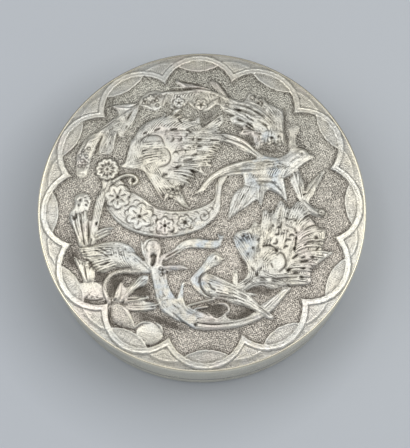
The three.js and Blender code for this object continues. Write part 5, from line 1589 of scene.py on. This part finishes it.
def punch_marks(tree, place, drawn):
    """The punched ground: dots that tend to rows along the figures' edges, 1 in a pit"""
    struck = node(tree, "ShaderNodeMapping", {"Vector": place, "Rotation": (0, 0, PUNCH_TURN)}).outputs[0]
    punches = node(tree, "ShaderNodeTexVoronoi", voronoi_dimensions="2D", inputs={
        "Vector": struck, "Scale": PUNCH_SCALE, "Randomness": PUNCH_RANDOMNESS}).outputs[0]
    rows = sum_of(tree, "MULTIPLY", lines(tree, drawn, PUNCH_ROW_PITCH, -0.6, 0.9), PUNCH_ROW_SHARE)
    pits = sum_of(tree, "MAXIMUM", rows, spread(tree, punches, 0.16, 0.52, 1, 0))
    grain = cloud(tree, place, 1500, 3, 0.6)
    return sum_of(tree, "MULTIPLY", pits, spread(tree, grain, 0.35, 0.55, 0.45, 1.0))


def matted_tone(tree, place, strands, pits):
    """The punched ground's colour: darker in its pits, in old patina and close to the figures"""
    patina = spread(tree, cloud(tree, place, 130, 3), 0.35, 0.65, 0.0, 0.22)
    shade = sum_of(tree, "ADD", pits, sum_of(tree, "ADD", patina, spread(tree, strands, 0, 1.4, 0.22, 0)))
    matting = blend(tree, spread(tree, parts_of(tree, place)[1], -0.01, 0.03), MATTED_BROWN, MATTED_OLIVE)
    return blend(tree, spread(tree, shade, 0.12, 1.17), matting, MATTED_DARK)


def chased_silver():
    """Worn satin silver with engraved lines, dark oxide in the cuts, a punched ground between, a painted
    highlight and patches of painted bluish reflection
    """
    material, tree, place = new_finish("chased_silver")
    names = ("matted", "ink", "strands", "satin", "hollow", "proud")
    matted, ink, strands, satin, hollow, proud = (read(tree, name) for name in names)
    wander = sum_of(tree, "MULTIPLY", cloud(tree, place, 260, 2), STRAND_WANDER)
    drawn = sum_of(tree, "ADD", strands, wander)
    hand = spread(tree, cloud(tree, place, HAND_SCALE, 3, 0.6), 0.42, 0.6)
    between = sum_of(tree, "ADD", drawn, 0.5 * STRAND_PITCH)
    hair = sum_of(tree, "MULTIPLY", lines(tree, between, STRAND_PITCH, 0.35, 0.95), hand)
    hair = sum_of(tree, "MULTIPLY", hair, spread(tree, satin, 0.1, 1, 0, 1.3))
    dulled = spread(tree, hollow, 0.0, 0.28, 0.05, 0.82)
    dulled = sum_of(tree, "SUBTRACT", dulled, spread(tree, proud, 0, 0.06, 0, 0.1))
    specks = spread(tree, cloud(tree, place, SPECK_SCALE, 2, 0.6), 0.54, 0.7, 0, 0.4)
    tarnish = sum_of(tree, "ADD", dulled, specks)
    tarnish = sum_of(tree, "ADD", tarnish, sum_of(tree, "MULTIPLY", hair, HAIR_DARKNESS))
    # painted highlight, patchy
    painted_highlight = sum_of(tree, "MULTIPLY", near_to(tree, place, PAINTED_HIGHLIGHT_PLACES), hand)
    bright = blend(tree, painted_highlight, silver_tint(tree, place), PAINTED_HIGHLIGHT_SILVER)
    pits = punch_marks(tree, place, drawn)
    colour = blend(tree, tarnish, bright, OXIDE_AND_SHADE)
    colour = blend(tree, matted, colour, matted_tone(tree, place, strands, pits))
    colour = blend(tree, spread(tree, ink, 0.15, 0.9, 0, 0.92), colour, OXIDE_AND_SHADE)
    smooth = spread(tree, cloud(tree, place, 260, 4), 0.3, 0.7, 0.26, 0.36)
    rough = sum_of(tree, "MULTIPLY", sum_of(tree, "MAXIMUM", matted, satin), MATT_ROUGHNESS)
    stipple = cloud(tree, place, STIPPLE_SCALE, 2)
    beaten = sum_of(tree, "ADD", cloud(tree, place, BEATEN_SCALE, 3, 0.6), stipple)
    beaten = sum_of(tree, "MULTIPLY", beaten, BEATEN_HEIGHT)
    fine = sum_of(tree, "ADD", beaten, sum_of(tree, "MULTIPLY", hair, -HAIR_DEPTH))
    marks = sum_of(tree, "MULTIPLY", sum_of(tree, "SUBTRACT", 1, pits), matted)
    normal = bump(tree, fine, BEATEN_DEPTH, MARK_STRENGTH)
    normal = bump(tree, marks, PUNCH_DEPTH, MARK_STRENGTH, normal)
    close(tree, colour, sum_of(tree, "ADD", smooth, rough), normal)
    return material


# Painted shade along the lid's mouth and at the foot of the plain silver, each its height and reach in
# metres and its share
SEAM_PAINTED_SHADE = ((0.0072, 0.002, 0.65), (0.0002, 0.0012, 0.25))
SEAM_RAGGEDNESS = 0.0026
# where the plain silver is darkened towards the far side by painted shade, and how much
FAR_SIDE_SHADE_SPAN = (0.004, 0.026)
FAR_SIDE_PAINTED_SHADE = 0.45
STAIN = 0.25
SCRATCH_DEPTH = 0.000006
SCRATCH_STRETCH = (0.1, 0.1, 2.5)


def worn_silver(name, warm, cool, low_gloss, high_gloss, dents):
    """Plain silver that hands have worn: faint tarnish clouds, painted shade towards the far side and in
    bands along the lid's mouth and the foot, fine scratches and shallow dents
    """
    material, tree, place = new_finish(name)
    _, away, upward = parts_of(tree, place)
    colour = blend(tree, spread(tree, cloud(tree, place, 45, 5, 0.6), 0.35, 0.65), warm, cool)
    # painted shade towards the far side
    colour = blend(tree, spread(tree, away, *FAR_SIDE_SHADE_SPAN, 0, FAR_SIDE_PAINTED_SHADE), colour, OXIDE_AND_SHADE)
    stain_and_shade = spread(tree, cloud(tree, place, 130, 3, 0.5), 0.5, 0.8, 0, STAIN)
    ragged = sum_of(tree, "SUBTRACT", cloud(tree, place, 240, 4), 0.5)
    height = sum_of(tree, "ADD", upward, sum_of(tree, "MULTIPLY", ragged, SEAM_RAGGEDNESS))
    # painted shade in bands along the lid's mouth and the foot
    for level, reach, share in SEAM_PAINTED_SHADE:
        off = sum_of(tree, "ABSOLUTE", sum_of(tree, "SUBTRACT", height, level))
        stain_and_shade = sum_of(tree, "MAXIMUM", stain_and_shade, spread(tree, off, 0.1 * reach, reach, share, 0))
    colour = blend(tree, stain_and_shade, colour, OXIDE_AND_SHADE)
    roughness = spread(tree, cloud(tree, place, 120, 5, 0.7), 0.3, 0.7, low_gloss, high_gloss)
    round_way = node(tree, "ShaderNodeMapping", {"Vector": place, "Scale": SCRATCH_STRETCH}).outputs[0]
    scratches = cloud(tree, round_way, 900, 4, 0.6)
    normal = bump(tree, cloud(tree, place, 130, 2), dents)
    close(tree, colour, roughness, bump(tree, scratches, SCRATCH_DEPTH, 0.7, normal))
    return material


def node_size(name):
    """A round node's outside radius, its bottom and its top, in millimetres"""
    low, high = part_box(name)
    return high[0] / MM, low[2] / MM, high[2] / MM


def wall_outline(outside, bottom, top, thickness, rows=WALL_ROWS, rounding=EDGE_ROUND):
    """An upright wall's outline, its four edges a little rounded"""
    inside = outside - thickness
    outline = []
    corners = [(inside, bottom, 180), (outside, bottom, 270), (outside, top, 0), (inside, top, 90)]
    for radius, height, start in corners:
        cx = radius + (rounding if radius == inside else -rounding)
        cy = height + (rounding if height == bottom else -rounding)
        outline += oval(cx, cy, rounding, rounding, [math.radians(start + 30 * step) for step in range(4)])
        if (radius, height) in ((outside, bottom), (inside, top)):
            end = top - rounding if height == bottom else bottom + rounding
            outline += [(radius, cy + (end - cy) * row / rows) for row in range(1, rows)]
    return outline


def wire_outline(outside, bottom, top, width):
    """A half-round wire's outline, flat side down"""
    angles = [math.pi * step / WIRE_ROUND_STEPS for step in range(WIRE_ROUND_STEPS + 1)]
    return oval(outside - width / 2, bottom, width / 2, top - bottom, angles)


def plate_outline(radius, bottom, top, rounding=0.5, rings=24):
    """A flat plate's outline from the axis out, under it and back over it"""
    out = [(radius - rounding) * k / rings for k in range(rings + 1)]
    edge = [(radius - rounding + rounding * math.sin(a), bottom + rounding - rounding * math.cos(a))
            for a in (math.pi / 8, math.pi / 4, 3 * math.pi / 8, math.pi / 2)]
    return [(r, bottom) for r in out] + edge + [(radius, top)] + [(r, top) for r in out[::-1]]


def dress(piece, body, node_name):
    """Ties a finished piece to its body and the node that it stands for"""
    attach(piece, body)
    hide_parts(node_name)


turned_ring = lathe_tree()
finishes = {
    "polished_silver": worn_silver("polished_silver", (0.94, 0.885, 0.725, 1), (0.86, 0.815, 0.68, 1),
                                   low_gloss=0.18, high_gloss=0.3, dents=0.00002),
    "inside_silver": worn_silver("inside_silver", (0.8, 0.785, 0.73, 1), (0.74, 0.745, 0.73, 1),
                                 low_gloss=0.3, high_gloss=0.45, dents=0.00004),
}

# Turned pieces: node, body, slot, wobble, outline and what the outline is made with, in millimetres
SHEET = 0.8
BAND = 1.0
RIM_WIRE = 1.05
TURNED_PIECES = {
    "worn_lid_wall": ("lid_skirt", "lid", "polished_silver", 0.05, wall_outline, {"thickness": SHEET}),
    "lid_edge_wire": ("lid_rim_wire", "lid", "polished_silver", 0.03, wire_outline, {"width": RIM_WIRE}),
    "seat_edge_wire": ("seat_wire", "base", "polished_silver", 0.03, wire_outline, {"width": BAND}),
    "worn_foot_band": ("foot_band", "base", "polished_silver", 0.03, wall_outline,
                       {"thickness": BAND, "rows": 6, "rounding": 0.15}),
    "box_inner_wall": ("inner_wall", "base", "inside_silver", 0.03, wall_outline, {"thickness": SHEET}),
    "box_floor_plate": ("base_plate", "base", "inside_silver", 0.02, plate_outline, {}),
}
for seed, (name, making) in enumerate(TURNED_PIECES.items(), 1):
    node_name, body, slot, wobble, outline, sizes = making
    shape = outline(*node_size(node_name), **sizes)
    dress(turned_piece(name, shape, finishes[slot], wobble, seed), body, node_name)

top_mesh = lid_top_mesh()
top_mesh.materials.append(chased_silver())
lid_top = bpy.data.objects.new("chased_lid_top", top_mesh)
bpy.context.collection.objects.link(lid_top)
dress(lid_top, "lid", "lid_top")

# Room: a pale floor with painted shade towards the left and the near side and a painted shadow round the
# box, and what surrounds it
FLOOR_LEFT_SHADED = (0.54, 0.58, 0.645, 1)
FLOOR_RIGHT_LIT = (0.56, 0.6, 0.66, 1)
FLOOR_PAINTED_SHADOW = (0.3, 0.33, 0.37, 1)
FLOOR_SPAN = 2
FLOOR_BLEND = (-0.09, 0.05)
FLOOR_TILT = 0.4
FLOOR_UNEVEN = 0.06
FLOOR_ROUGHNESS = 0.7
PAINTED_SHADOW_MIDDLE = (-0.006, -0.005, 0)
PAINTED_SHADOW_REACH = (0.041, 0.062)
PAINTED_SHADOW_SHARE = 0.5
NEAR_TONE = (0.39, 0.39, 0.39, 1)
FAR_TONE = (0.48, 0.472, 0.45, 1)
HORIZON_TONE = (0.36, 0.37, 0.38, 1)
OVERHEAD_TONE = (0.9, 0.92, 0.945, 1)

# Two soft lamps, and the camera above the lid
LAMP_TONE = (1, 0.98, 0.92)
LAMP_DISTANCE = 0.9
CAMERA_TILT = math.radians(14)
CAMERA_DISTANCE = 0.36
CAMERA_LENS = 105.9
CAMERA_REACH = (0.01, 10)
AIM_RIGHT = 0.00079
AIM_UP = -0.004235


def floor():
    """The pale blue-grey floor, with painted shade towards the left and a painted shadow round the box"""
    material, tree, place = new_finish("floor")
    right, away, _ = parts_of(tree, place)
    slope = sum_of(tree, "ADD", right, sum_of(tree, "MULTIPLY", away, FLOOR_TILT))
    uneven = sum_of(tree, "SUBTRACT", cloud(tree, place, 25, 4), 0.5)
    slope = sum_of(tree, "ADD", slope, sum_of(tree, "MULTIPLY", uneven, FLOOR_UNEVEN))
    # painted shade: the floor is darker towards the left and the near side
    tone = blend(tree, spread(tree, slope, *FLOOR_BLEND), FLOOR_LEFT_SHADED, FLOOR_RIGHT_LIT)
    # painted shadow round the box
    under = spread(tree, distance_to(tree, place, PAINTED_SHADOW_MIDDLE), *PAINTED_SHADOW_REACH, PAINTED_SHADOW_SHARE, 0)
    tone = blend(tree, under, tone, FLOOR_PAINTED_SHADOW)
    shader = node(tree, "ShaderNodeBsdfPrincipled", {"Base Color": tone, "Roughness": FLOOR_ROUGHNESS})
    node(tree, "ShaderNodeOutputMaterial", {"Surface": shader.outputs[0]})
    mesh = bpy.data.meshes.new("floor")
    corners = [(FLOOR_SPAN * x, FLOOR_SPAN * y, 0) for x, y in ((-1, -1), (1, -1), (1, 1), (-1, 1))]
    mesh.from_pydata(corners, [], [(0, 1, 2, 3)])
    mesh.materials.append(material)
    plane = bpy.data.objects.new("floor", mesh)
    bpy.context.collection.objects.link(plane)


def lamp(name, bearing, tilt, size, radiance):
    """A soft rectangular lamp that faces the object, its bearing from +X and its tilt from upright"""
    bearing, tilt = math.radians(bearing), math.radians(tilt)
    away = Vector((math.sin(tilt) * math.cos(bearing), math.sin(tilt) * math.sin(bearing), math.cos(tilt)))
    light = bpy.data.lights.new(name, "AREA")
    light.shape = "RECTANGLE"
    light.size, light.size_y = size
    light.energy = radiance * math.pi * size[0] * size[1]
    light.color = LAMP_TONE
    holder = bpy.data.objects.new(name, light)
    holder.location = LAMP_DISTANCE * away
    holder.rotation_euler = away.to_track_quat("Z", "Y").to_euler()
    bpy.context.collection.objects.link(holder)


def room_light():
    """A soft grey room: brighter on the far side, cool overhead and dim at the horizon"""
    world = bpy.data.worlds.new("room")
    world.use_nodes = True
    tree = world.node_tree
    tree.nodes.clear()
    _, far, upward = parts_of(tree, node(tree, "ShaderNodeTexCoord").outputs["Generated"])
    tone = blend(tree, spread(tree, far, -0.5, 0.5), NEAR_TONE, FAR_TONE)
    tone = blend(tree, spread(tree, upward, 0.1, 0.5), HORIZON_TONE, tone)
    overhead = sum_of(tree, "ADD", upward, sum_of(tree, "MULTIPLY", far, 0.25))
    tone = blend(tree, spread(tree, overhead, 0.84, 1.02), tone, OVERHEAD_TONE)
    light = node(tree, "ShaderNodeBackground", {"Color": tone, "Strength": 1.0})
    node(tree, "ShaderNodeOutputWorld", {"Surface": light.outputs[0]})
    bpy.context.scene.world = world


def camera():
    """The camera over the near side of the lid, at the photograph's angle"""
    away = Vector((0, -math.sin(CAMERA_TILT), math.cos(CAMERA_TILT)))
    upward = Vector((0, math.cos(CAMERA_TILT), math.sin(CAMERA_TILT)))
    shoulder = Vector((0, 0, SHOULDER_HEIGHT * MM))
    place = shoulder + CAMERA_DISTANCE * away
    aim = shoulder + Vector((AIM_RIGHT, 0, 0)) + AIM_UP * upward
    lens = bpy.data.cameras.new("camera")
    lens.lens = CAMERA_LENS
    lens.clip_start, lens.clip_end = CAMERA_REACH
    holder = bpy.data.objects.new("camera", lens)
    holder.location = place
    holder.rotation_euler = (aim - place).to_track_quat("-Z", "Y").to_euler()
    bpy.context.collection.objects.link(holder)
    bpy.context.scene.camera = holder


floor()
room_light()
lamp("left_lamp", bearing=180, tilt=33, size=(0.5, 0.6), radiance=1.92)
lamp("right_lamp", bearing=2, tilt=36, size=(0.46, 0.8), radiance=1.75)
camera()
bpy.context.scene.view_settings.view_transform = "Standard"
